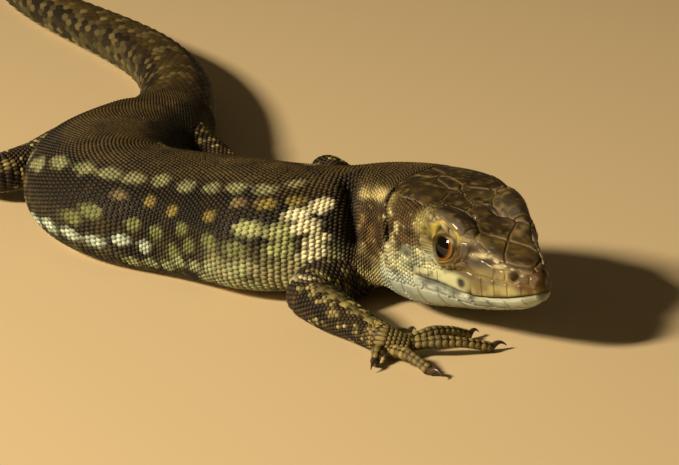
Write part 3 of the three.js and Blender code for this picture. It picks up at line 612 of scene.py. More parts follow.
# The spots of the fore flank by kind: colour, radius in mm, distances from the snout and shares of the
# half girth. The left flank has them too, a little further back.
FLANK_KINDS = [
    ("#7b7d5a", 0.55, [(41.2, 0.35), (39.7, 0.275), (37.8, 0.245), (36.1, 0.23), (34.4, 0.235),
                       (32.4, 0.225), (30.0, 0.24), (27.75, 0.23), (25.75, 0.205), (24.0, 0.195)]),
    ("#685c40", 0.4, [(34.75, 0.335), (25.0, 0.285)]),
    ("#776a36", 0.4, [(32.4, 0.345), (30.2, 0.37), (26.5, 0.365), (23.5, 0.275), (22.0, 0.255)]),
    ("#949a6a", 0.55, [(23.95, 0.395), (22.45, 0.4), (22.4, 0.47)]),
    ("#666b43", 0.48, [(37.0, 0.48), (36.0, 0.435), (33.3, 0.455), (31.3, 0.47), (29.5, 0.54),
                       (28.8, 0.44), (27.9, 0.5), (26.0, 0.47), (24.4, 0.48)]),
    ("#a3b2a4", 0.44, [(40.2, 0.59), (38.7, 0.57), (37.2, 0.57), (35.7, 0.565), (34.1, 0.535),
                       (32.3, 0.55)]),
    ("#848c68", 0.46, [(33.7, 0.64), (32.0, 0.625), (30.4, 0.625), (29.0, 0.585), (27.3, 0.59),
                       (25.75, 0.575), (24.2, 0.565), (26.6, 0.64), (25.0, 0.65), (23.4, 0.65)]),
    ("#d2d0b0", 0.5, [(21.75, 0.325), (21.3, 0.38), (20.75, 0.285), (20.75, 0.45), (20.9, 0.5)]),
    ("#7d7858", 0.45, [(22.6, 0.14), (21.7, 0.56), (22.9, 0.58), (22.3, 0.64)]),
]
LEFT_SPOTS_BACK = 0.9
HIND_SPOTS_FROM = (40.6, 42.0)
SPOT_ROW_HIGH, SPOT_ROW_CLIMB = 1.6, 0.13
NECK_END = (17.8, 19.2)


def body_paint(at, share, points):
    """Colours of the trunk, neck and tail by distance from the snout and share of the half girth."""
    q = np.abs(share)
    half = np.interp(at, rows, half_girth)
    girth = q * half
    blotch, fine = noise(points, 1.5, 1), noise(points, 0.7, 2)
    flank = rise(0.16, 0.25, q + 0.04 * blotch) * (1 - rise(0.7, 0.78, q))
    lower = flank * rise(0.4, 0.58, q)
    pale = band(18.5, 21, 24.5, 27.5, at) * band(0.44, 0.56, 0.7, 0.76, q)
    made = over(flat_colour("#33280f", len(at)), ("#4a3c1c", 0.25 + 0.6 * blotch),
                ("#1a1308", np.clip(0.8 * fine, 0, 0.7)), ("#0d0803", flank * (0.92 + 0.08 * blotch)),
                ("#3b2e17", 0.35 * flank * blots(points, 0.9, 5, 1, 0)),
                ("#4c4a2c", lower * blots(points, 0.6, 8, 0.8, 0.2, 0.8)),
                ("#8b8a66", pale * blots(points, 0.7, 12, 0.9, 0.75)))
    drift = girth - SPOT_ROW_CLIMB * (at - 28) + 0.175 * noise(points, 1.1, 4)
    hind = rise(*HIND_SPOTS_FROM, at) * (1 - 0.7 * rise(60, 90, at))
    for centre, radius, pitch, colour, seed, strength in FLANK_SPOTS:
        in_row = drift - centre + SPOT_ROW_HIGH / 2
        inside = np.abs(drift - centre) < SPOT_ROW_HIGH / 2
        spotted = spots(at + 0.4 * seed, in_row, (pitch, SPOT_ROW_HIGH), radius, 0.25, seed)
        made = over(made, (colour, spotted * inside * hind * strength))
    made = over(made, ("#a5a38a", rise(0.7, 0.77, q)))
    ragged = 0.5 + 0.5 * noise(points, 0.45, 7)
    for colour, radius, spots_at in FLANK_KINDS:
        for at_spot, share_spot in spots_at:
            apart = np.hypot((at - at_spot - LEFT_SPOTS_BACK * (share > 0)) / 1.25, (q - share_spot) * half)
            made = over(made, (colour, 0.95 * np.clip(ragged + 1.6 * (1 - apart / radius), 0, 1)))
    neck = 1 - rise(*NECK_END, at)
    side = neck * rise(0.26, 0.32, q)
    # Painted shadow in the neck fold, where the bulge of the shoulder shades the neck.
    fold_shadow = hump(at, NECK_FOLD["at"] + NECK_FOLD["lean"] * (q - 0.22), 0.6) * (share < 0)
    fold_shadow = fold_shadow * band(0.05, 0.12, 0.46, 0.56, q)
    made = over(made, ("#3d2f1d", 0.8 * side), ("#6c5736", side * np.clip(0.9 * fine, 0, 1)),
                ("#b9ad7c", 0.9 * neck * hump(girth, 3.1, 0.55) * np.clip(0.7 + 0.9 * fine, 0, 1)),
                ("#8d7d52", 0.7 * side * blots(points, 0.4, 13, 2, -0.5)),
                ("#a59d72", neck * rise(0.54, 0.66, q + 0.08 * blotch)),
                ("#4a3c22", 0.8 * side * blots(points, 0.6, 11, 2, -0.3)), ("#120d08", 0.9 * fold_shadow))
    made = made * (1 + 0.3 * neck * (1 - rise(0.5, 0.6, q)))[:, None]
    return over(made, ("#7d7048", 0.4 * rise(60, 68, at) * spots(at, girth, (1.9, 1.5), 0.5, 0.6, 60)))


def value_at(grid, row, share):
    """A value of the plain sections at places on the body."""
    r = np.interp(row, rows, np.arange(len(rows)))
    c = np.abs(share) * (len(SHARES) - 1)
    i, j = np.minimum(r.astype(int), len(rows) - 2), np.minimum(c.astype(int), len(SHARES) - 2)
    u, v = r - i, c - j
    return ((1 - u) * (1 - v) * grid[i, j] + u * (1 - v) * grid[i + 1, j]
            + (1 - u) * v * grid[i, j + 1] + u * v * grid[i + 1, j + 1])


# Patches of colour on the side of the head: distance from the snout, height, half sizes, colour, share.
HEAD_PATCHES = [
    (10.0, 3.3, 2.4, 1.1, "#4a3a20", 0.8), (12.8, 2.2, 1.0, 1.4, "#4a371f", 0.7),
    (9.4, 2.5, 1.2, 0.6, "#5d4b2c", 0.7), (8.2, 3.7, 0.7, 0.6, "#948c58", 0.8),
    (12.3, 4.5, 0.9, 0.5, "#857b48", 0.8), (11.3, 1.2, 0.9, 1.1, "#b2ae88", 0.9),
    (8.3, 1.35, 1.6, 0.7, "#adb295", 1.0), (9.9, 0.9, 1.2, 0.6, "#aab092", 0.9),
    (9.0, 0.75, 0.8, 0.4, "#5d6a5c", 0.8), (10.4, 1.9, 0.5, 0.4, "#3a301c", 0.8),
    (9.6, 1.75, 0.55, 0.3, "#4f5a44", 0.9), (9.0, 1.45, 0.45, 0.22, "#5a6250", 0.8),
    (11.9, 0.5, 0.5, 0.4, "#4c5040", 0.8), (10.9, 2.75, 0.6, 0.3, "#241a0c", 0.8),
    (9.3, 2.9, 0.5, 0.25, "#2a1f10", 0.8), (7.9, 2.6, 0.35, 0.5, "#c9c08a", 0.6),
    (12.2, 3.4, 0.6, 0.35, "#8d8250", 0.7), (11.6, 3.9, 0.7, 0.3, "#7a6c40", 0.6),
    (3.4, 1.85, 1.0, 0.22, "#241c0e", 0.9), (10.9, 0.1, 0.6, 0.3, "#4c5348", 0.7),
    (8.0, 0.35, 0.8, 0.12, "#343224", 0.8), (6.2, 1.45, 1.0, 0.25, "#7d6a34", 0.9),
    (5.2, 1.8, 0.5, 0.5, "#6a5730", 0.8), (7.4, 3.3, 1.3, 0.2, "#8f8750", 0.7),
    (5.2, 2.75, 1.2, 0.18, "#a39a68", 0.6), (4.6, 1.7, 0.5, 0.3, "#4a3b20", 0.8),
    (4.0, 1.75, 0.6, 0.2, "#2c2412", 0.8), (2.9, 1.6, 0.5, 0.2, "#2c2412", 0.7),
    (3.6, 2.15, 0.7, 0.12, "#c4bb94", 0.8), (2.2, 1.65, 0.5, 0.12, "#c4bb94", 0.8),
    (1.7, 1.3, 0.2, 0.15, "#cfc7a6", 0.7), (2.9, 1.1, 1.6, 0.45, "#7d7040", 0.9),
    (1.7, 1.0, 0.5, 0.5, "#877742", 0.8), (4.95, 0.32, 0.36, 0.34, "#0b0c07", 1.3),
    # The patch at 1.15, 1.15 is painted shade in the hole of the nostril.
    (1.15, 1.15, 0.32, 0.3, "#14100a", 1.0), (7.6, -0.1, 1.1, 0.2, "#4e5a58", 0.85),
    (5.8, -0.35, 0.8, 0.18, "#5a645e", 0.7), (4.4, -0.5, 0.28, 0.4, "#1c1e18", 0.9),
    (3.2, -0.8, 0.5, 0.2, "#414f3e", 0.6), (0.2, 0.8, 0.9, 0.9, "#4f3508", 1.0),
]
LIP_HIGH = [(0, 0.85), (2, 0.95), (4, 1.15), (5, 1.3), (8, 1.2), (10, 0.9)]


def head_paint(at, share, points):
    """Colours of the head by distance from the snout and share of the half girth."""
    height = value_at(plain_up, at, share)
    gape = height - smooth(MOUTH, at)
    above_lip = gape - np.interp(at, *zip(*LIP_HIGH))
    jaw = 1 - rise(-0.15, 0.05, gape)
    edge = hump(gape, -0.3, 0.22) * band(3.4, 4.6, 8.0, 9.2, at)
    fine, lumps = noise(points, 0.35, 61), noise(points, 1.0, 62)
    brown_lip = (1 - rise(-0.3, 0.3, above_lip)) * (1 - rise(4.2, 5.0, at))
    made = over(flat_colour("#2f220a", len(at)), ("#4a3810", 0.3 + 0.6 * lumps),
                ("#120c05", np.clip(1.6 * fine - 0.3, 0, 0.9)),
                ("#a39c62", 0.85 * (1 - rise(-0.3, 0.15, above_lip))),
                ("#5c4720", 0.75 * brown_lip * blots(points, 0.55, 66, 1.8, 0.1)),
                ("#c0c49c", 0.85 * (1 - rise(-0.35, 0.1, above_lip)) * rise(4.2, 5.2, at)),
                ("#a9b3a6", 0.95 * jaw * (1 - 0.3 * np.clip(lumps, 0, 1))),
                ("#6d7c74", 0.8 * jaw * blots(points, 0.8, 65, 1.3, -0.2)),
                ("#1a211e", 0.95 * edge * blots(points, 0.5, 73, 3.0, 0.1)),
                # Painted highlights: white glints on the lower lip plates.
                ("#dfe4dc", 0.7 * edge * blots(points, 0.45, 74, 2.2, -0.3)))
    for at_patch, up_patch, long, high, colour, strength in HEAD_PATCHES:
        patch = np.exp(-(((at - at_patch) / long)**2 + ((height - up_patch) / high)**2)**1.5)
        made = over(made, (colour, strength * patch * (1 + 0.35 * fine)))
    side = rise(5.0, 7.5, at) * rise(0.2, 0.6, height) * (1 - jaw) * (1 - rise(3.9, 4.3, height))
    ring, nostril = in_oval(OPENING, at, height), in_oval(NOSTRIL, at, height)
    above = rise(OPENING["up"] - 0.1, OPENING["up"] + 0.5, height)
    # Painted shade in the troughs of the folds below the eye.
    wrinkle_shade = np.clip(np.cos((ring - 1.03) * 2 * math.pi / 0.2), 0, 1) * rise(1.1, 1.3, ring)
    # Painted shade in the gap between the lips.
    mouth_shade = hump(gape, 0.04, 0.08 + 0.1 * rise(4.6, 5.8, at))
    # Painted shade in the slit of the ear.
    ear_shade = hump(at, smooth(EAR_LINE, height), 0.4) * band(1.6, 2.1, 4.7, 5.1, height)
    return over(made, ("#1f170b", 0.75 * side * blots(points, 0.42, 75, 2.4, -0.7)),
                ("#d3cc9c", 0.6 * side * blots(points, 0.42, 76, 2.4, -0.8)),
                ("#b3a34c", 0.9 * hump(ring, 1.2, 0.1) * above), ("#22170c", 0.85 * hump(ring, 1.02, 0.07)),
                ("#241a0e", 0.7 * wrinkle_shade * (1 - rise(1.6, 1.9, ring)) * (1 - above)),
                # Painted highlights round the nostril.
                ("#b9ae86", 0.6 * hump(nostril, 1.8, 0.35) * blots(points, 0.3, 70, 1.5, 0.4)),
                ("#150f08", 0.9 * mouth_shade * (1 - rise(MOUTH_CORNER_AT - 0.6, MOUTH_CORNER_AT, at))),
                ("#0d0905", 0.95 * ear_shade))


def limb_paint(at, share, girth, points, seed=0, flecks=1.0):
    """Colours of a leg by distance along it and share of the half girth."""
    shown = flecks * (0.35 + 0.65 * rise(1.5, 4.0, at))
    return over(flat_colour("#171008", len(at)), ("#3b2c15", 0.3 + 0.6 * noise(points, 0.6, 3 + seed)),
                ("#8d8354", shown * spots(at, share * girth, (0.95, 0.9), 0.26, 0.9, 70 + seed, 0.75)),
                ("#a79f7c", 0.9 * rise(0.84, 0.94, np.abs(share))))


HEAD_COLOURS_END = (13.8, 15.2)


def whole_paint(at, share, points):
    """Colours of the body, from the head's to the trunk's over the nape."""
    trunk = rise(*HEAD_COLOURS_END, at)[:, None]
    return mix(head_paint(at, share, points), body_paint(at, share, points), trunk)


def stacked(pieces):
    """Points and triangles of several meshes as those of one."""
    starts = np.cumsum([0] + [len(points) for points, _ in pieces])
    return (np.concatenate([points for points, _ in pieces]),
            np.concatenate([triangles + start for (_, triangles), start in zip(pieces, starts)]))


def mesh_object(name, vertices, faces, colours, material):
    """One mesh piece with a colour for each vertex, from millimetres on the standing plane."""
    mesh = bpy.data.meshes.new(name)
    mesh.from_pydata(placed(vertices).tolist(), [], faces.tolist())
    paint = mesh.color_attributes.new("hide", "FLOAT_COLOR", "POINT")
    opaque = np.column_stack([np.clip(colours, 0, 1), np.ones(len(colours))])
    paint.data.foreach_set("color", opaque.ravel())
    mesh.polygons.foreach_set("use_smooth", [True] * len(mesh.polygons))
    mesh.materials.append(material)
    made = bpy.data.objects.new(name, mesh)
    bpy.context.scene.collection.objects.link(made)
    return made


def grained(name, per_mm, detail, contrast, strength, deep, surface, pits_per_mm=None):
    """A material in the piece's own paint, broken up by grain and by pits if it has them."""
    material, tree, output = new_material(name)
    painted = add(tree, "Attribute", attribute_name="hide")
    grain = add(tree, "TexNoise", {"Scale": per_mm / MM, "Detail": detail})
    height = grain.outputs["Fac"]
    if pits_per_mm:
        pits = add(tree, "TexNoise", {"Scale": pits_per_mm / MM, "Detail": 2.0})
    shade = add(tree, "MapRange", {"Value": height, "From Min": 0.3, "From Max": 0.7,
                                   "To Min": 1 - contrast, "To Max": 1 + contrast})
    tinted = add(tree, "VectorMath", {0: painted.outputs["Color"], "Scale": shade.outputs["Result"]},
                 operation="SCALE")
    if pits_per_mm:
        height = add(tree, "Math", {0: height, 1: pits.outputs["Fac"]}, operation="ADD").outputs["Value"]
    relief = add(tree, "Bump", {"Height": height, "Strength": strength, "Distance": deep * MM})
    made = add(tree, "BsdfPrincipled", {"Base Color": tinted.outputs["Vector"],
                                        "Normal": relief.outputs["Normal"], **surface})
    tree.links.new(made.outputs["BSDF"], output.inputs["Surface"])
    return material


# Dry keratin on skin, grown in thin layers: it looks satin, its pigment sits under a faint sheen, and it
# breaks up into fine grain. The real grain is about 0.02 mm, too fine to show, so it is 9 lumps a mm here.
HIDE_GRAIN_PER_MM, HIDE_GRAIN_DEEP = 9, 0.03
hide = grained("lizard hide", HIDE_GRAIN_PER_MM, 3.0, 0.2, 0.3, HIDE_GRAIN_DEEP,
               {"Roughness": 0.55, "IOR": 1.5, "Specular IOR Level": 0.3})

FLESH = ["head", "neck", "torso_front", "torso_rear", "pelvis"] + [f"tail_{k}" for k in range(1, 6)]
FLESH += [f"{side}_{part}" for side in ("right", "left")
          for part in ("upper_arm", "forearm", "thigh", "shin")]
FEW_FLECKS = 0.2
PALM_GIRTH, DIGIT_GIRTH = 2.0, 1.0
PALM_SEED, DIGIT_SEED = 5, 7


def palm_paint(at, share, points):
    return limb_paint(at, share, PALM_GIRTH, points, PALM_SEED, FEW_FLECKS)


def digit_paint(at, share, points):
    return limb_paint(at, share, DIGIT_GIRTH, points, DIGIT_SEED, FEW_FLECKS)


skins = [(body, whole_paint)]
for limb in limbs.values():
    girth = math.pi * limb["radius"].mean()
    paint = lambda at, share, points, girth=girth: limb_paint(at, share, girth, points)
    skins.append((limb["sheet"], paint))
skins += [(palm, palm_paint) for palm in palms.values()]
skins += [(digit["sheet"], digit_paint) for digit in digits.values()]
shells, colours = [], []
for sheet, paint in skins:
    points, triangles, coordinates = sheet.tube()
    shells.append((points, triangles))
    colours.append(paint(*coordinates.T, points))
skin = mesh_object("skin", *stacked(shells), np.concatenate(colours), hide)
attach(skin, "root")
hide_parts(*FLESH)

# ---------------------------------------------------------------- beads of back and flanks
# Small smooth domes of keratin, one to each bump of the hide that they grow from, packed in rows round the
# neck and trunk. They are finer on the neck and run down to the edge of the belly.

BEAD_SIDES, BEAD_RINGS, BEAD_TOP = 8, ((1.0, -0.3), (0.8, 0.72)), 0.95
PATCH = 0.0014  # half of a scale's patch on the flat unwrap


def bead():
    """One rounded scale: places along, across and high, triangles, and painted shade and light, dark at the
    foot and light at the top.
    """
    turn = 2 * math.pi * np.arange(BEAD_SIDES) / BEAD_SIDES
    shape = [(r * math.cos(a), r * math.sin(a), h) for r, h in BEAD_RINGS for a in turn]
    shape.append((0, 0, BEAD_TOP))
    faces = []
    for a in range(BEAD_SIDES):
        b = (a + 1) % BEAD_SIDES
        c, d = a + BEAD_SIDES, b + BEAD_SIDES
        faces += [(a, b, c), (b, d, c), (c, d, 2 * BEAD_SIDES)]
    return np.array(shape), np.array(faces), np.array([0.6] * BEAD_SIDES + [1.0] * BEAD_SIDES + [1.1])


def place_on(sheet, row, column):
    """Where coordinates lie on a flat unwrap of the sheet, inside a narrow border."""
    rows_share = (row - sheet.rows[0]) / (sheet.rows[-1] - sheet.rows[0])
    return np.stack([0.01 + 0.98 * rows_share, 0.01 + 0.98 * (column + 1) / 2], -1)


def layer(sheet, row, column, long, share, high, scale, paint, strip=(0, 1), cut=1):
    """Copies of a scale on a sheet: points, triangles, colours and places on the flat unwrap. The scale is
    half as long in mm, half as wide in columns and as high in mm as given. The unwrap is one strip of the
    whole, cut along the belly (1) or the back (0)."""
    shape, triangles, shade = scale
    along, across, lift = (np.broadcast_to(size, row.shape)[:, None] * shape[:, k]
                           for k, size in enumerate((long, share, high)))
    points = sheet.on(row[:, None] + along, column[:, None] + across, lift)
    blocks = len(shape) * np.arange(len(row))[:, None, None] + triangles
    turn = 2 * math.pi * np.arange(len(shape)) / len(shape)
    places = place_on(sheet, row, (column + cut) % 2 - 1)
    places[:, 0] = (places[:, 0] + strip[0]) / strip[1]
    places = places[:, None] + PATCH * np.stack([np.cos(turn), np.sin(turn)], -1)
    return (points.reshape(-1, 3), blocks.reshape(-1, 3), (paint[:, None] * shade[:, None]).reshape(-1, 3),
            places.reshape(-1, 2))


def unwrap(piece, places):
    """The flat map OFBake, from a place for each vertex."""
    corners = np.zeros(len(piece.data.loops), np.int64)
    piece.data.loops.foreach_get("vertex_index", corners)
    flat = piece.data.uv_layers.new(name="OFBake")
    flat.data.foreach_set("uv", np.clip(places, 0, 1)[corners].ravel())


def scale_coat(name, layers, material):
    """One piece of scales from its layers."""
    points, triangles = stacked([each[:2] for each in layers])
    points[:, 2] = np.maximum(points[:, 2], 0)
    made = mesh_object(name, points, triangles, np.concatenate([each[2] for each in layers]), material)
    unwrap(made, np.concatenate([each[3] for each in layers]))
    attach(made, "root")


def lattice(start, stop, pitch, columns, pitch_columns):
    """Rows and columns of scales, every other row half a pitch over."""
    row, column = [], []
    for k, at in enumerate(np.arange(start, stop, pitch)):
        across = np.arange(columns[0] + pitch_columns * (0.5 if k % 2 else 0.0), columns[1], pitch_columns)
        row.append(np.full(len(across), at))
        column.append(across)
    return np.concatenate(row), np.concatenate(column)


def rings(row_at, count_at):
    """Rows and columns of scales in rings round the body, every other ring half a scale over."""
    row = [np.full(count, at) for at, count in zip(row_at, count_at)]
    column = [-1 + 2 * (np.arange(count) + 0.5 * (k % 2)) / count for k, count in enumerate(count_at)]
    return np.concatenate(row), np.concatenate(column)


def chance(row, column, seed, fine=10000):
    """A repeatable number from 0 to 1 for each scale."""
    return hashed(np.stack([row * 100, column * fine], -1), seed)


def only(kept, *arrays):
    return [each[kept] for each in arrays]


def clear_of(sheets, points, deep=-0.02):
    """Which places lie outside the other sheets."""
    made = np.full(len(points), True)
    for sheet in sheets:
        low, high = sheet.points.min((0, 1)) - 0.5, sheet.points.max((0, 1)) + 0.5
        near = ((points > low) & (points < high)).all(1)
        if near.any():
            made[near] &= depth_under(sheet, points[near]) > deep
    return made


BEAD = bead()
NECK_PITCH, BACK_PITCH, PITCH_GROWS = 0.26, 0.31, (16, 24)
BACK_COLUMNS, BACK_EDGE = 37, 0.72
BEADS_FROM, BEAD_UNEVEN, BEAD_LONG, BEAD_WIDE = 14.5, 0.07, 0.52, 0.54
limb_sheets = [limb["sheet"] for limb in limbs.values()]
ring_at = [BEADS_FROM]
while ring_at[-1] < VENT_AT:
    ring_at.append(ring_at[-1] + mix(NECK_PITCH, BACK_PITCH, float(rise(*PITCH_GROWS, ring_at[-1]))))
number, column = lattice(0, len(ring_at), 1, (-BACK_EDGE, BACK_EDGE), BACK_EDGE / BACK_COLUMNS)
uneven = BEAD_UNEVEN * (hashed(np.stack([number, column * 10000], -1), 5) - 0.5)
row = np.array(ring_at)[number.astype(int)] + uneven
root = body.on(row, column)
row, column, root = only(clear_of(limb_sheets, root), row, column, root)
paint = whole_paint(row, column, root) * (0.75 + 0.5 * chance(row, column, 6))[:, None]
long = BEAD_LONG * mix(NECK_PITCH, BACK_PITCH, rise(*PITCH_GROWS, row))
for name, some in (("beads_right", column < 0), ("beads_left", column >= 0)):
    half_wide = BEAD_WIDE * BACK_EDGE / BACK_COLUMNS
    beads = layer(body, row[some], column[some], long[some], half_wide, COAT, BEAD, paint[some])
    scale_coat(name, [beads], hide)

# ---------------------------------------------------------------- belly plates
# Flat oblong plates of keratin in six rows under the trunk, each hinged on the hide at its front edge and
# lying a little over the one behind.


def grid_faces(count, width):
    """Triangles of a grid of points, row by row."""
    cells = [(width * i + j, width * (i + 1) + j) for i in range(count - 1) for j in range(width - 1)]
    return np.array([(a, b, a + 1) for a, b in cells] + [(b, b + 1, a + 1) for a, b in cells])


PLATE_SIDES = ((-1, -0.3), (-0.85, 0.8), (0, 1), (0.85, 0.8), (1, -0.3))
PLATE = (np.array([(x, across, z) for across, high in PLATE_SIDES
                   for x, z in ((-1, -0.6), (-0.9, min(high, 0.1)), (0, high * 0.6), (0.85, high),
                                (1.05, -0.3))]),
         grid_faces(5, 5), np.full(25, 1.0))
BELLY_FROM, BELLY_TO = 21.3, 58.5
BELLY_ROWS, BELLY_PLATES, BELLY_PLATE_LONG = 27, 6, 0.70
k, n = np.divmod(np.arange(BELLY_ROWS * BELLY_PLATES), BELLY_PLATES)
row = BELLY_FROM + (BELLY_TO - BELLY_FROM) * (k + 0.5) / BELLY_ROWS
column = 1 + 2 * (1 - BACK_EDGE - 0.01) * ((n + 0.5) / BELLY_PLATES - 0.5)
row, column = only(clear_of(limb_sheets, body.on(row, column), 0.0), row, column)
paint = flat_colour("#d3cdb6", len(row)) * (0.9 + 0.2 * chance(row, column, 8, 1000))[:, None]
belly = layer(body, row, column, BELLY_PLATE_LONG, 0.97 * (1 - BACK_EDGE) / BELLY_PLATES, COAT, PLATE,
              paint, cut=0)
scale_coat("belly_plates", [belly], hide)

# ---------------------------------------------------------------- tail rings
# Long scales of keratin, each with a keel down its middle and its tip free, stand in whorls round the tail
# like tiles. There are fewer to a whorl as the tail thins.

TAIL_RINGS, TAIL_SCALE_WIDE, TAIL_SCALE_LONG, FEWEST_TO_A_RING = 108, 1.15, 0.55, 8
# Its third part is painted shade and highlight: dark at the ends that dip under the neighbouring scales,
# light along the keel.
KEELED = (np.array([(-1, -0.8, -0.5), (-1, 0, -0.3), (-1, 0.8, -0.5), (-0.3, -1, 0.1), (-0.3, 0, 0.75),
                    (-0.3, 1, 0.1), (0.6, -0.98, 0.3), (0.6, 0, 1.1), (0.6, 0.98, 0.3), (1.0, -0.6, 0.2),
                    (1.15, 0, 1.0), (1.0, 0.6, 0.2), (0.95, -0.6, -0.5), (1.05, 0, -0.5),
                    (0.95, 0.6, -0.5)]),
          grid_faces(5, 3),
          np.array([0.6] * 3 + [0.9, 1.1, 0.9] + [1, 1.2, 1] + [0.95, 1.15, 0.95] + [0.4] * 3))
whorl_at = VENT_AT + 0.6 + (TOTAL_LENGTH - VENT_AT - 1.2) * np.arange(TAIL_RINGS) / TAIL_RINGS
to_a_ring = 2 * np.round(2 * body.half_girth(whorl_at) / TAIL_SCALE_WIDE).astype(int)
to_a_ring = np.maximum(FEWEST_TO_A_RING, to_a_ring)
row, column = rings(whorl_at, to_a_ring)
share = 1 / np.repeat(to_a_ring, to_a_ring)
thick = np.minimum(COAT * 1.2, 0.25 * share * body.half_girth(row) + 0.02)
paint = body_paint(row, column, body.on(row, column)) * (0.85 + 0.3 * chance(row, column, 9))[:, None]
scale_coat("tail_rings", [layer(body, row, column, TAIL_SCALE_LONG, share, thick, KEELED, paint)], hide)

# ---------------------------------------------------------------- leg scales
# Beads of keratin grow on the hide all round the legs, smaller and darker than the flank's, and a band of
# wider plates guards the front of each forearm.

LIMB_PITCH = 0.31
GUARD_AT, GUARD_HALF, GUARD_PITCH, GUARD_LONG, GUARD_WIDE = 0.02, 0.15, 0.62, 0.36, 0.09
GUARD_DARK, GUARD_PALE = "#2b2110", "#7c7340"
ELBOW_CREASE = [(4.0, 0.42), (4.8, 0.3), (5.3, 0.1), (6.2, -0.05)]
layers = []
for number, (name, limb) in enumerate(limbs.items()):
    sheet, strip = limb["sheet"], (number, len(limbs))
    around = 2 * math.pi * limb["radius"].mean()
    columns = round(around / LIMB_PITCH)
    row, column = lattice(0.2, limb["end"] - 0.1, LIMB_PITCH * 0.95, (-1, 1 - 1 / columns), 2 / columns)
    root = sheet.on(row, column)
    others = [body] + [other["sheet"] for other in limbs.values() if other is not limb]
    row, column, root = only(clear_of(others, root), row, column, root)
    paint = limb_paint(row, column, around / 2, root, number)
    if name == "right_arm":
        crease = band(3.6, 4.2, 5.6, 6.2, row) * hump(column, smooth(ELBOW_CREASE, row), 0.07)
        paint = over(paint, ("#a8a284", 1.3 * crease))
    paint = paint * (0.6 + 0.8 * chance(row, column, 11 + number))[:, None]
    if name.endswith("arm"):
        front = (np.abs(column - GUARD_AT) < GUARD_HALF) & (row > limb["knee"] + 1.2)
        row, column, paint = only(~front, row, column, paint)
        guard_row, guard_column = lattice(limb["knee"] + 0.8, limb["end"] - 0.2, GUARD_PITCH,
                                          (GUARD_AT - 0.1, GUARD_AT + 0.1), 0.15)
        paler = rise(limb["knee"] + 1.0, limb["knee"] + 4.0, guard_row)
        guard_paint = over(flat_colour(GUARD_DARK, len(guard_row)), (GUARD_PALE, paler))
        guard_paint = guard_paint * (0.25 + 1.1 * chance(guard_row, guard_column, 41, 1000))[:, None]
        layers.append(layer(sheet, guard_row, guard_column, GUARD_LONG, GUARD_WIDE, COAT * 1.1, PLATE,
                            guard_paint, strip))
    layers.append(layer(sheet, row, column, 0.55 * LIMB_PITCH, 1.1 / columns, COAT, BEAD, paint, strip))
scale_coat("leg_scales", layers, hide)

# ---------------------------------------------------------------- scales of hands and feet
# Fine beads of keratin grow on the palms, and rings of short scales run out along each digit to its claw,
# paler than the leg. They are thin.

DIGIT_COAT = 0.07
PALM_PITCH, PALM_COLUMN, PALM_SCALE = 0.3, 0.11, (0.165, 0.062)
DIGIT_PITCH, DIGIT_COLUMN, DIGIT_SCALE = 0.42, 0.5, (0.24, 0.27)
STRIPS = len(palms) + len(digits)
TOE_BROWN = "#6b6038"
layers = []
for number, (name, sheet) in enumerate(palms.items()):
    row, column = lattice(0.1, sheet.rows[-1] - 0.1, PALM_PITCH, (-1, 0.99), PALM_COLUMN)
    root = sheet.on(row, column)
    kept = (row > 0.85) | clear_of([limbs[name]["sheet"]], root)
    kept &= clear_of([digit["sheet"] for key, digit in digits.items() if key[0] == name], root, -0.12)
    row, column, root = only(kept, row, column, root)
    paint = over(palm_paint(row, column, root), (TOE_BROWN, np.full(len(row), 0.5)))
    paint = paint * (1.3 + 1.2 * chance(row, column, 31 + number))[:, None]
    layers.append(layer(sheet, row, column, *PALM_SCALE, DIGIT_COAT, BEAD, paint, (number, STRIPS)))
for number, digit in enumerate(digits.values()):
    sheet = digit["sheet"]
    row, column = lattice(0.3, sheet.rows[-1] - 0.1, DIGIT_PITCH, (-1, 0.99), DIGIT_COLUMN)
    column = np.floor((column + 1) / DIGIT_COLUMN + 0.01) * DIGIT_COLUMN - 1
    paint = over(digit_paint(row, column * 0.6, sheet.on(row, column)),
                 (TOE_BROWN, np.full(len(row), 0.55)))
    paint = paint * (1.1 + 1.5 * chance(row, 0 * row, 21 + number))[:, None]
    layers.append(layer(sheet, row, column, *DIGIT_SCALE, DIGIT_COAT, BEAD, paint,
                        (number + len(palms), STRIPS)))
scale_coat("digit_scales", layers, hide)

# ---------------------------------------------------------------- head shields
# Large smooth plates of horn cover the crown, the cheeks and the lips. Each is fused to the bone below and
# meets its neighbours edge to edge.

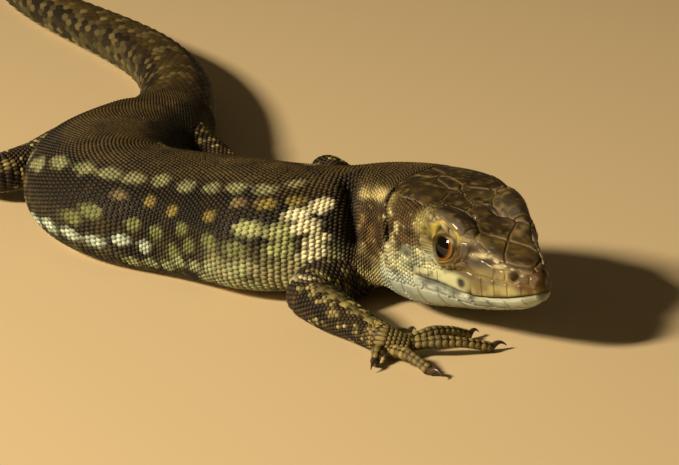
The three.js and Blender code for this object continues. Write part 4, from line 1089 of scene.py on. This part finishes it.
CROWN = {
    "frontonasal": [(0.72, 0), (0.8, 0.3), (1.2, 0.8), (1.95, 1.24), (2.54, 0.95), (3.55, 0.08), (3.55, 0)],
    "frontal": [(3.6, 0), (4.15, 0.52), (4.7, 1.28), (5.7, 1.05), (7.0, 0.98), (7.35, 0.6), (7.45, 0)],
    "interparietal": [(9.35, 0), (9.9, 0.5), (11.6, 0.4), (12.0, 0)],
    "occipital": [(12.0, 0), (12.3, 0.6), (13.9, 0.85), (13.9, 0)],
}
PAIRS = {
    "nasal": [(0.3, 0), (0.72, 0), (0.8, 0.3), (1.2, 0.8), (0.92, 0.92), (0.55, 0.7), (0.33, 0.35)],
    "prefrontal": [(3.57, 0.04), (2.54, 0.95), (1.95, 1.24), (2.2, 1.38), (3.1, 1.6), (4.1, 1.8),
                   (4.7, 1.28), (4.15, 0.52)],
    "brow_first": [(4.7, 1.28), (5.0, 1.2), (4.8, 2.2), (4.15, 1.83)],
    "brow_cap": [(5.0, 1.2), (5.7, 1.05), (6.4, 1.0), (7.0, 0.98), (7.45, 1.25), (7.8, 1.75),
                 (7.8, 2.55), (7.2, 2.75), (6.45, 2.58), (5.6, 2.45), (4.8, 2.2)],
    "brow_last": [(7.8, 1.75), (8.2, 1.95), (8.35, 2.55), (7.8, 2.55)],
    "frontoparietal": [(7.45, 0), (7.35, 0.6), (7.0, 0.98), (7.45, 1.25), (7.8, 1.75), (8.2, 1.95),
                       (8.9, 1.6), (9.4, 0.8), (9.35, 0)],
    "parietal": [(9.35, 0), (9.4, 0.8), (8.9, 1.6), (8.2, 1.95), (8.35, 2.55), (9.0, 2.95), (11.0, 3.35),
                 (12.9, 3.1), (13.9, 2.2), (13.9, 0.85), (12.3, 0.6), (12.0, 0), (11.6, 0.4),
                 (9.9, 0.5)],
}
# Narrow shields along the brow and the canthus, as distance behind the snout and share of the half girth.
BROW_EDGE = [(4.2, 0.222), (4.75, 0.243), (5.3, 0.253), (5.9, 0.25), (6.5, 0.242), (7.2, 0.246),
             (7.8, 0.225), (8.4, 0.213)]
BROW_EDGE_WIDE = 0.03
CANTHUS = [(0.98, 0.215), (1.55, 0.222), (2.2, 0.222), (3.15, 0.217), (4.15, 0.214)]
CANTHUS_WIDE = (0.035, 0.045, 0.06, 0.055, 0.04)
UNDER_LIP = [(2.3, 0.9), (3.8, 1.2), (5.5, 1.7), (7.2, 2.35), (8.9, 2.95), (10.5, 3.2), (12.0, 3.3)]
CHIN = [[(0.9, 0), (2.2, 0), (2.2, 0.9), (1.5, 0.95)], [(2.2, 0), (3.8, 0), (3.8, 1.2), (2.2, 0.9)],
        [(3.8, 0), (5.4, 0.35), (5.7, 1.7), (3.8, 1.2)], [(5.4, 0.35), (7.4, 1.0), (7.5, 2.4), (5.7, 1.7)],
        [(7.4, 1.0), (8.9, 2.0), (8.6, 2.9), (7.5, 2.4)]]
CHEEK = {
    "front_nasal": [(0.16, 0.72), (0.26, 1.1), (0.6, 1.42), (0.95, 1.42), (0.84, 1.2), (0.88, 0.95),
                    (1.0, 0.76)],
    "rear_nasal": [(1.0, 0.76), (1.36, 0.9), (1.46, 1.2), (1.3, 1.45), (1.75, 1.42), (1.75, 0.8)],
    "front_loreal": [(1.75, 0.8), (1.75, 1.45), (2.5, 1.65), (2.5, 0.85)],
    "rear_loreal": [(2.5, 0.85), (2.5, 1.65), (4.15, 2.3), (4.5, 1.75), (4.3, 1.35), (3.9, 0.95)],
    "under_eye": [(4.3, -0.42), (3.9, 0.95), (4.5, 1.2), (5.3, 1.15), (6.2, 1.0), (7.0, 0.85),
                  (7.0, -0.02)],
    "preocular_low": [(4.4, 1.27), (4.55, 1.76), (4.9, 1.78), (5.3, 1.4), (5.3, 1.2)],
    "preocular_high": [(4.56, 1.8), (4.2, 2.33), (4.35, 2.7), (4.9, 2.8), (4.9, 1.84)],
    "cheek_plate": [(9.3, 1.2), (9.1, 1.8), (9.5, 2.25), (10.1, 2.2), (10.3, 1.6), (9.9, 1.15)],
}
ROSTRAL = [(-0.1, -1.25), (0.12, -1.4), (0.26, -0.95), (0.45, -0.4), (0.45, 0.4), (0.26, 0.95),
           (0.12, 1.4), (-0.1, 1.25)]
HALF_GIRTH = 11.5
UPPER_LIP, UNDER_EYE_AT = (0.55, 1.5, 2.45, 3.4, 4.3, 7.0, 7.75, 8.5, 9.2), 4.3
UPPER_LIP_TOP = [(0, 0.72), (4.3, 0.95), (7, 0.85), (9.2, 0.9)]
LOWER_LIP, LOWER_LIP_HIGH = (0.6, 1.9, 3.2, 4.5, 5.8, 7.1, 8.3, 9.3), 0.62
LIP_GAP, SHIELD_GAP = 0.07, 0.02
SHIELD_BEVEL, SHIELD_HIGH, SHIELD_PITCH = 0.07, 0.06, 0.13
SHIELD_CROWN, CAP_CROWN, CROWN_RUN, RIM_SUNK = 0.03, 0.12, 0.5, 0.03


def section_of(grid, at):
    """The plain section at a distance from the snout."""
    return grid[np.clip(np.searchsorted(rows, at), 0, len(rows) - 1)]


def share_across(at, left, chin=False):
    """Share of the half girth at a distance left of the middle line of the crown or the chin."""
    table = section_of(plain_out, at)
    top = int(np.argmax(table))
    some = slice(None, top - len(table) - 1, -1) if chin else slice(None, top + 1)
    return math.copysign(np.interp(abs(left), table[some], SHARES[some]), left)


def share_up(at, height, side):
    """Share of the half girth at a height on one side of the head."""
    return side * np.interp(-height, -section_of(plain_up, at), SHARES)


def shield(corners, to_share, crown):
    """One plate whose rim dips into the hide: its points and triangles, each point's distance from the rim
    and coordinates on the body, and the plate's outline."""
    a, b = corners, np.roll(corners, -1, 0)
    edge = []
    for begin, end in zip(a, b):
        count = max(1, int(np.linalg.norm(end - begin) / SHIELD_PITCH))
        edge += [begin + (end - begin) * k / count for k in range(count)]
    edge = np.array(edge)

    def to_edge(some):
        t = np.clip(((some[:, None] - a) * (b - a)).sum(2) / ((b - a)**2).sum(1), 0, 1)
        return np.linalg.norm(a + (b - a) * t[..., None] - some[:, None], axis=2).min(1)

    low, top = corners.min(0), corners.max(0)
    inner = np.meshgrid(*(np.arange(low[k], top[k], SHIELD_PITCH) for k in range(2)))
    inner = np.stack(inner, -1).reshape(-1, 2)
    inner = inner[to_edge(inner) > 1.6 * SHIELD_BEVEL]
    ahead = np.roll(edge, -1, 0) - np.roll(edge, 1, 0)
    inward = np.stack([-ahead[:, 1], ahead[:, 0]], -1) / np.linalg.norm(ahead, axis=1, keepdims=True)
    turning = (a[:, 0] * b[:, 1] - a[:, 1] * b[:, 0]).sum()
    inset = edge + math.copysign(SHIELD_BEVEL, turning) * inward
    inset = inset[to_edge(inset) > 0.8 * SHIELD_BEVEL]
    flat = [Vector(p) for p in np.concatenate([edge, inset, inner])]
    made = geometry.delaunay_2d_cdt(flat, [], [list(range(len(edge)))], 1, 1e-5)
    points = np.array([tuple(p) for p in made[0]])
    rim = to_edge(points)
    raised = SHIELD_HIGH * np.clip(rim / (0.8 * SHIELD_BEVEL), 0, 1) + crown * np.clip(rim / CROWN_RUN, 0, 1)
    lift = np.where(rim < 1e-4, -RIM_SUNK, raised)
    shares = np.array([to_share(p) for p in points])
    outline = np.array([(p[0], to_share(p)) for p in edge])
    return body.on(points[:, 0], shares, lift), np.array(made[2]), rim, points[:, 0], shares, outline


def shrunk(corners, by):
    """The corners of a plate moved in towards its middle."""
    corners = np.array(corners, float)
    apart = np.linalg.norm(corners - corners.mean(0), axis=1, keepdims=True)
    return corners.mean(0) + (corners - corners.mean(0)) * (1 - by / apart)


def on_lip(at, by):
    """A place above or below the line of the mouth."""
    return at, float(smooth(MOUTH, at)) + by


# Each plate has corners, the way from a corner to a share of the half girth, and a kind.
on_crown = lambda place: share_across(*place)
on_chin = lambda place: share_across(*place, chin=True)
plates = [(ROSTRAL, lambda place: place[1] / 3, "lip")]
plates += [(half + [(at, -left) for at, left in half[::-1] if left > 0], on_crown, "crown")
           for half in CROWN.values()]
for side in (-1, 1):
    by_girth = lambda place, side=side: side * place[1] / HALF_GIRTH
    by_height = lambda place, side=side: share_up(*place, side)
    for name, corners in PAIRS.items():
        kind = "cap" if name == "brow_cap" else "crown"
        plates.append(([(at, side * left) for at, left in corners], on_crown, kind))
    under_lip = [(at, share_up(*on_lip(at, -0.08 - LOWER_LIP_HIGH), 1) - 0.002,
                  share_across(at, left + 0.04, True))
                 for at, left in UNDER_LIP]
    strips = [([(at, upper, upper + BROW_EDGE_WIDE) for at, upper in BROW_EDGE], "brow ridge"),
              ([(at, upper, upper + wide) for (at, upper), wide in zip(CANTHUS, CANTHUS_WIDE)], "canthus"),
              (under_lip, "lip")]
    for ends, kind in strips:
        for (at_a, upper_a, lower_a), (at_b, upper_b, lower_b) in zip(ends, ends[1:]):
            corners = [(at_a, upper_a), (at_b, upper_b), (at_b, lower_b), (at_a, lower_a)]
            plates.append(([(at, share * HALF_GIRTH) for at, share in corners], by_girth, kind))
    plates += [([(at, side * left) for at, left in corners], on_chin, "lip") for corners in CHIN]
    plates += [(corners, by_height, "lip") for corners in CHEEK.values()]
    for a, b in zip(UPPER_LIP, UPPER_LIP[1:]):
        if a != UNDER_EYE_AT:
            steps = (a, (a + b) / 2, b)
            top = [(at, float(np.interp(at, *zip(*UPPER_LIP_TOP)))) for at in steps[::-1]]
            plates.append(([on_lip(at, LIP_GAP) for at in steps] + top, by_height, "lip"))
    for a, b in zip(LOWER_LIP, LOWER_LIP[1:]):
        steps = (b, (a + b) / 2, a)
        foot = [on_lip(at, -LIP_GAP - LOWER_LIP_HIGH) for at in steps[::-1]]
        plates.append(([on_lip(at, -LIP_GAP) for at in steps] + foot, by_height, "lip"))

shells, colours, places, outlines = [], [], [], []
for number, (corners, to_share, kind) in enumerate(plates):
    crown = CAP_CROWN if kind == "cap" else SHIELD_CROWN
    points, triangles, rim, at, share, outline = shield(shrunk(corners, SHIELD_GAP), to_share, crown)
    paint = head_paint(at, share, points) * (0.9 + 0.2 * hashed([number], 63))
    # Canthus plates: pale flecks, partly the scales' own colour and partly painted glints of light.
    if kind == "canthus":
        paint = over(paint, ("#b5aa84", blots(points, 0.38, 67, 1.5, 0.35, 0.85)))
    if kind == "brow ridge":
        paint = over(paint, ("#9a8f62", blots(points, 0.5, 68, 1.2, 0.3, 0.8)))
    if kind in ("crown", "cap"):
        behind = rise(4.0, 4.6, at)
        ahead = (1 - behind) * rise(1.6, 2.4, at)
        paint = over(paint, ("#2c210b", 0.85 * behind),
                     ("#6b5c2c", 0.6 * ahead * blots(points, 0.8, 71, 1, 0.4)),
                     ("#5d4d24", 0.55 * blots(points, 0.7, 69, 1.5, -0.1)),
                     ("#120c05", 0.75 * blots(points, 0.3, 72, 2.6, -0.2)),
                     ("#8a7440", 0.5 * blots(points, 0.26, 77, 2.4, -0.6)),
                     # Painted highlight: a thin light line just inside the rim of each crown plate.
                     ("#8a7344", 0.3 * hump(rim, 0.07, 0.05)))
    seam = 0.4 if kind in ("canthus", "brow ridge") else 0.8
    colours.append(over(paint, ("#2a1f10", seam * (1 - rise(0.01, 0.07, rim)))))
    shells.append((points, triangles))
    places.append(place_on(body, at, share))
    outlines.append(outline)

# Horn fused to bone: a thin glossy layer over pigment, with shallow pits of 0.4 mm that break up its shine.
# Its grain is finer in life and is drawn at 0.14 mm, about the finest that shows.
HORN_GRAIN_PER_MM, HORN_PITS_PER_MM, HORN_GRAIN_DEEP = 7, 2.5, 0.04
shield_horn = grained("glossy head shield", HORN_GRAIN_PER_MM, 4.0, 0.25, 0.5, HORN_GRAIN_DEEP,
                      {"Roughness": 0.42, "IOR": 1.55, "Coat Weight": 0.25, "Coat Roughness": 0.12},
                      HORN_PITS_PER_MM)
shields = mesh_object("head_shields", *stacked(shells), np.concatenate(colours), shield_horn)
unwrap(shields, np.concatenate(places))
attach(shields, "root")

# ---------------------------------------------------------------- temple beads
# Fine beads of keratin grow where the shields leave the hide free: on the temples, round the eyes and over
# the nape. They stop at the lids, at the slit of the ear and at the line of the mouth.


def covered(row, share):
    """Which places lie under a plate."""
    made = np.full(len(row), False)
    for outline in outlines:
        inside = np.full(len(row), False)
        for (r0, c0), (r1, c1) in zip(outline, np.roll(outline, -1, 0)):
            crosses = (c0 > share) != (c1 > share)
            with np.errstate(divide="ignore", invalid="ignore"):
                inside ^= crosses & (row < r0 + (share - c0) * (r1 - r0) / (c1 - c0))
        made |= inside
    return made


TEMPLE_PITCH, TEMPLE_FROM, TEMPLE_TO = 0.26, 0.2, 14.4
LID_RING, SLIT_HALF, MOUTH_HALF, SLIT_HEIGHTS = 1.6, 0.26, 0.13, (1.7, 4.9)
BARE_SNOUT, BARE_CHIN, CHIN_SHARE = 4.3, 2.3, 0.8
ring_at = np.arange(TEMPLE_FROM, TEMPLE_TO, TEMPLE_PITCH * 0.92)
row, column = rings(ring_at, np.round(2 * body.half_girth(ring_at) / TEMPLE_PITCH).astype(int))
height = value_at(plain_up, row, column)
gape = np.abs(height - smooth(MOUTH, row))
by_slit = (height > SLIT_HEIGHTS[0]) & (height < SLIT_HEIGHTS[1])
in_slit = by_slit & (np.abs(row - smooth(EAR_LINE, height)) <= SLIT_HALF)
ring = in_oval(OPENING, row, height)
kept = ~covered(row, column) & ~in_slit & (ring > LID_RING)
kept &= (row > BARE_SNOUT) | ((row > BARE_CHIN) & (np.abs(column) > CHIN_SHARE))
kept &= (gape > MOUTH_HALF) | (row > MOUTH_CORNER_AT)
row, column, ring = only(kept, row, column, ring)
paint = whole_paint(row, column, body.on(row, column)) * (0.75 + 0.5 * chance(row, column, 64))[:, None]
half_wide = 0.55 * TEMPLE_PITCH / body.half_girth(row)
high = 0.05 + 0.07 * rise(1.75, 2.6, ring)
beads = layer(body, row, column, 0.5 * TEMPLE_PITCH, half_wide, high, BEAD, paint)
scale_coat("temple_beads", [beads], hide)

# ---------------------------------------------------------------- eyes
# Wet round eyeballs with a black round pupil and a coppery iris under a clear cornea. The folded lids hold
# them.

PUPIL, IRIS = 0.73, 0.93
EYE_RINGS, EYE_SIDES, EYE_GAP = 40, 64, 0.01
LOOKS_AHEAD, LOOKS_OUT, LOOKS_UP = 0.2, 1.43, 0.4
# A film of tears on the cornea: one clear, mirror-like coat over colours that have no shine of their own.
eye_gloss, tree, output = new_material("wet cornea")
painted = add(tree, "Attribute", attribute_name="hide")
cornea = add(tree, "BsdfPrincipled", {"Base Color": painted.outputs["Color"], "Roughness": 0.25,
                                      "IOR": 1.38, "Specular IOR Level": 0.0, "Coat Weight": 1.0,
                                      "Coat IOR": 1.38, "Coat Roughness": 0.03})
tree.links.new(cornea.outputs["BSDF"], output.inputs["Surface"])
for name, side in (("right", -1), ("left", 1)):
    centre = SNOUT - EYE["at"] * head_forward + side * EYE["out"] * head_left + EYE["up"] * head_up
    gaze = LOOKS_AHEAD * head_forward + LOOKS_UP * head_up + side * LOOKS_OUT * head_left
    gaze /= np.linalg.norm(gaze)
    upward = head_up - gaze * (head_up @ gaze)
    upward /= np.linalg.norm(upward)
    across = np.cross(gaze, upward)
    angle = math.pi * np.arange(EYE_RINGS + 1)[:, None, None] / EYE_RINGS
    turn = 2 * math.pi * np.arange(EYE_SIDES)[:, None] / EYE_SIDES
    outward = np.cos(turn) * upward + np.sin(turn) * across
    ball = (EYE_RADIUS - EYE_GAP) * (np.cos(angle) * gaze + np.sin(angle) * outward)
    ball = np.concatenate([ball[1:-1].reshape(-1, 3), ball[0, :1], ball[-1, :1]])
    off = np.linalg.norm(ball - (ball @ gaze)[:, None] * gaze, axis=1)
    behind = ball @ gaze < 0
    paint = over(flat_colour("#0a0806", len(ball)),
                 ("#5c3511", rise(PUPIL - 0.03, PUPIL + 0.03, off) * ~behind),
                 ("#8a6a33", rise(PUPIL + 0.08, IRIS - 0.02, off) * ~behind),
                 ("#1d130b", np.maximum(rise(IRIS - 0.05, IRIS + 0.05, off), behind)))
    eye = mesh_object(f"{name}_eyeball", centre + ball, tube_faces(EYE_RINGS - 1, EYE_SIDES), paint,
                      eye_gloss)
    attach(eye, "root")
    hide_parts(f"eye_{name}")

# ---------------------------------------------------------------- claws
# Twenty curved horn claws, one past the tip of each digit. Each is a hard sheath of dark horn grown round
# the last bone.

CLAW_SIDES, CLAW_RINGS, CLAW_BROWN = 12, 14, "#3a2a1c"
CLAW_RADII, CLAW_ARCH, CLAW_ROOT = (0.25, 0.03), 0.35, 0.1
# Dense horn without scales: plain dark brown, smooth and a little glassy.
horn, tree, output = new_material("claw horn")
claw_horn = add(tree, "BsdfPrincipled", {"Base Color": linear(CLAW_BROWN), "Roughness": 0.3, "IOR": 1.55})
tree.links.new(claw_horn.outputs["BSDF"], output.inputs["Surface"])
shells = []
for digit in digits.values():
    t = np.linspace(0, 1, CLAW_RINGS)
    forward = np.array((math.cos(digit["turn"]), math.sin(digit["turn"])))
    tip = digit["path"][-1]
    flat_path = tip[:2] + forward * mix(-CLAW_ROOT, CLAW_LENGTH, t)[:, None]
    height = tip[2] + CLAW_ARCH * np.sin(0.8 * math.pi * t) - tip[2] * t * t * 0.8
    claw = tube_sheet(np.column_stack([flat_path, height]), mix(*CLAW_RADII, t), CLAW_SIDES)
    shells.append(claw.tube()[:2])
points, triangles = stacked(shells)
claws = mesh_object("claws", points, triangles, flat_colour(CLAW_BROWN, len(points)), horn)
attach(claws, "root")
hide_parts(*[f"{side}_{part}" for side in ("right", "left") for part in ("hand", "foot")])
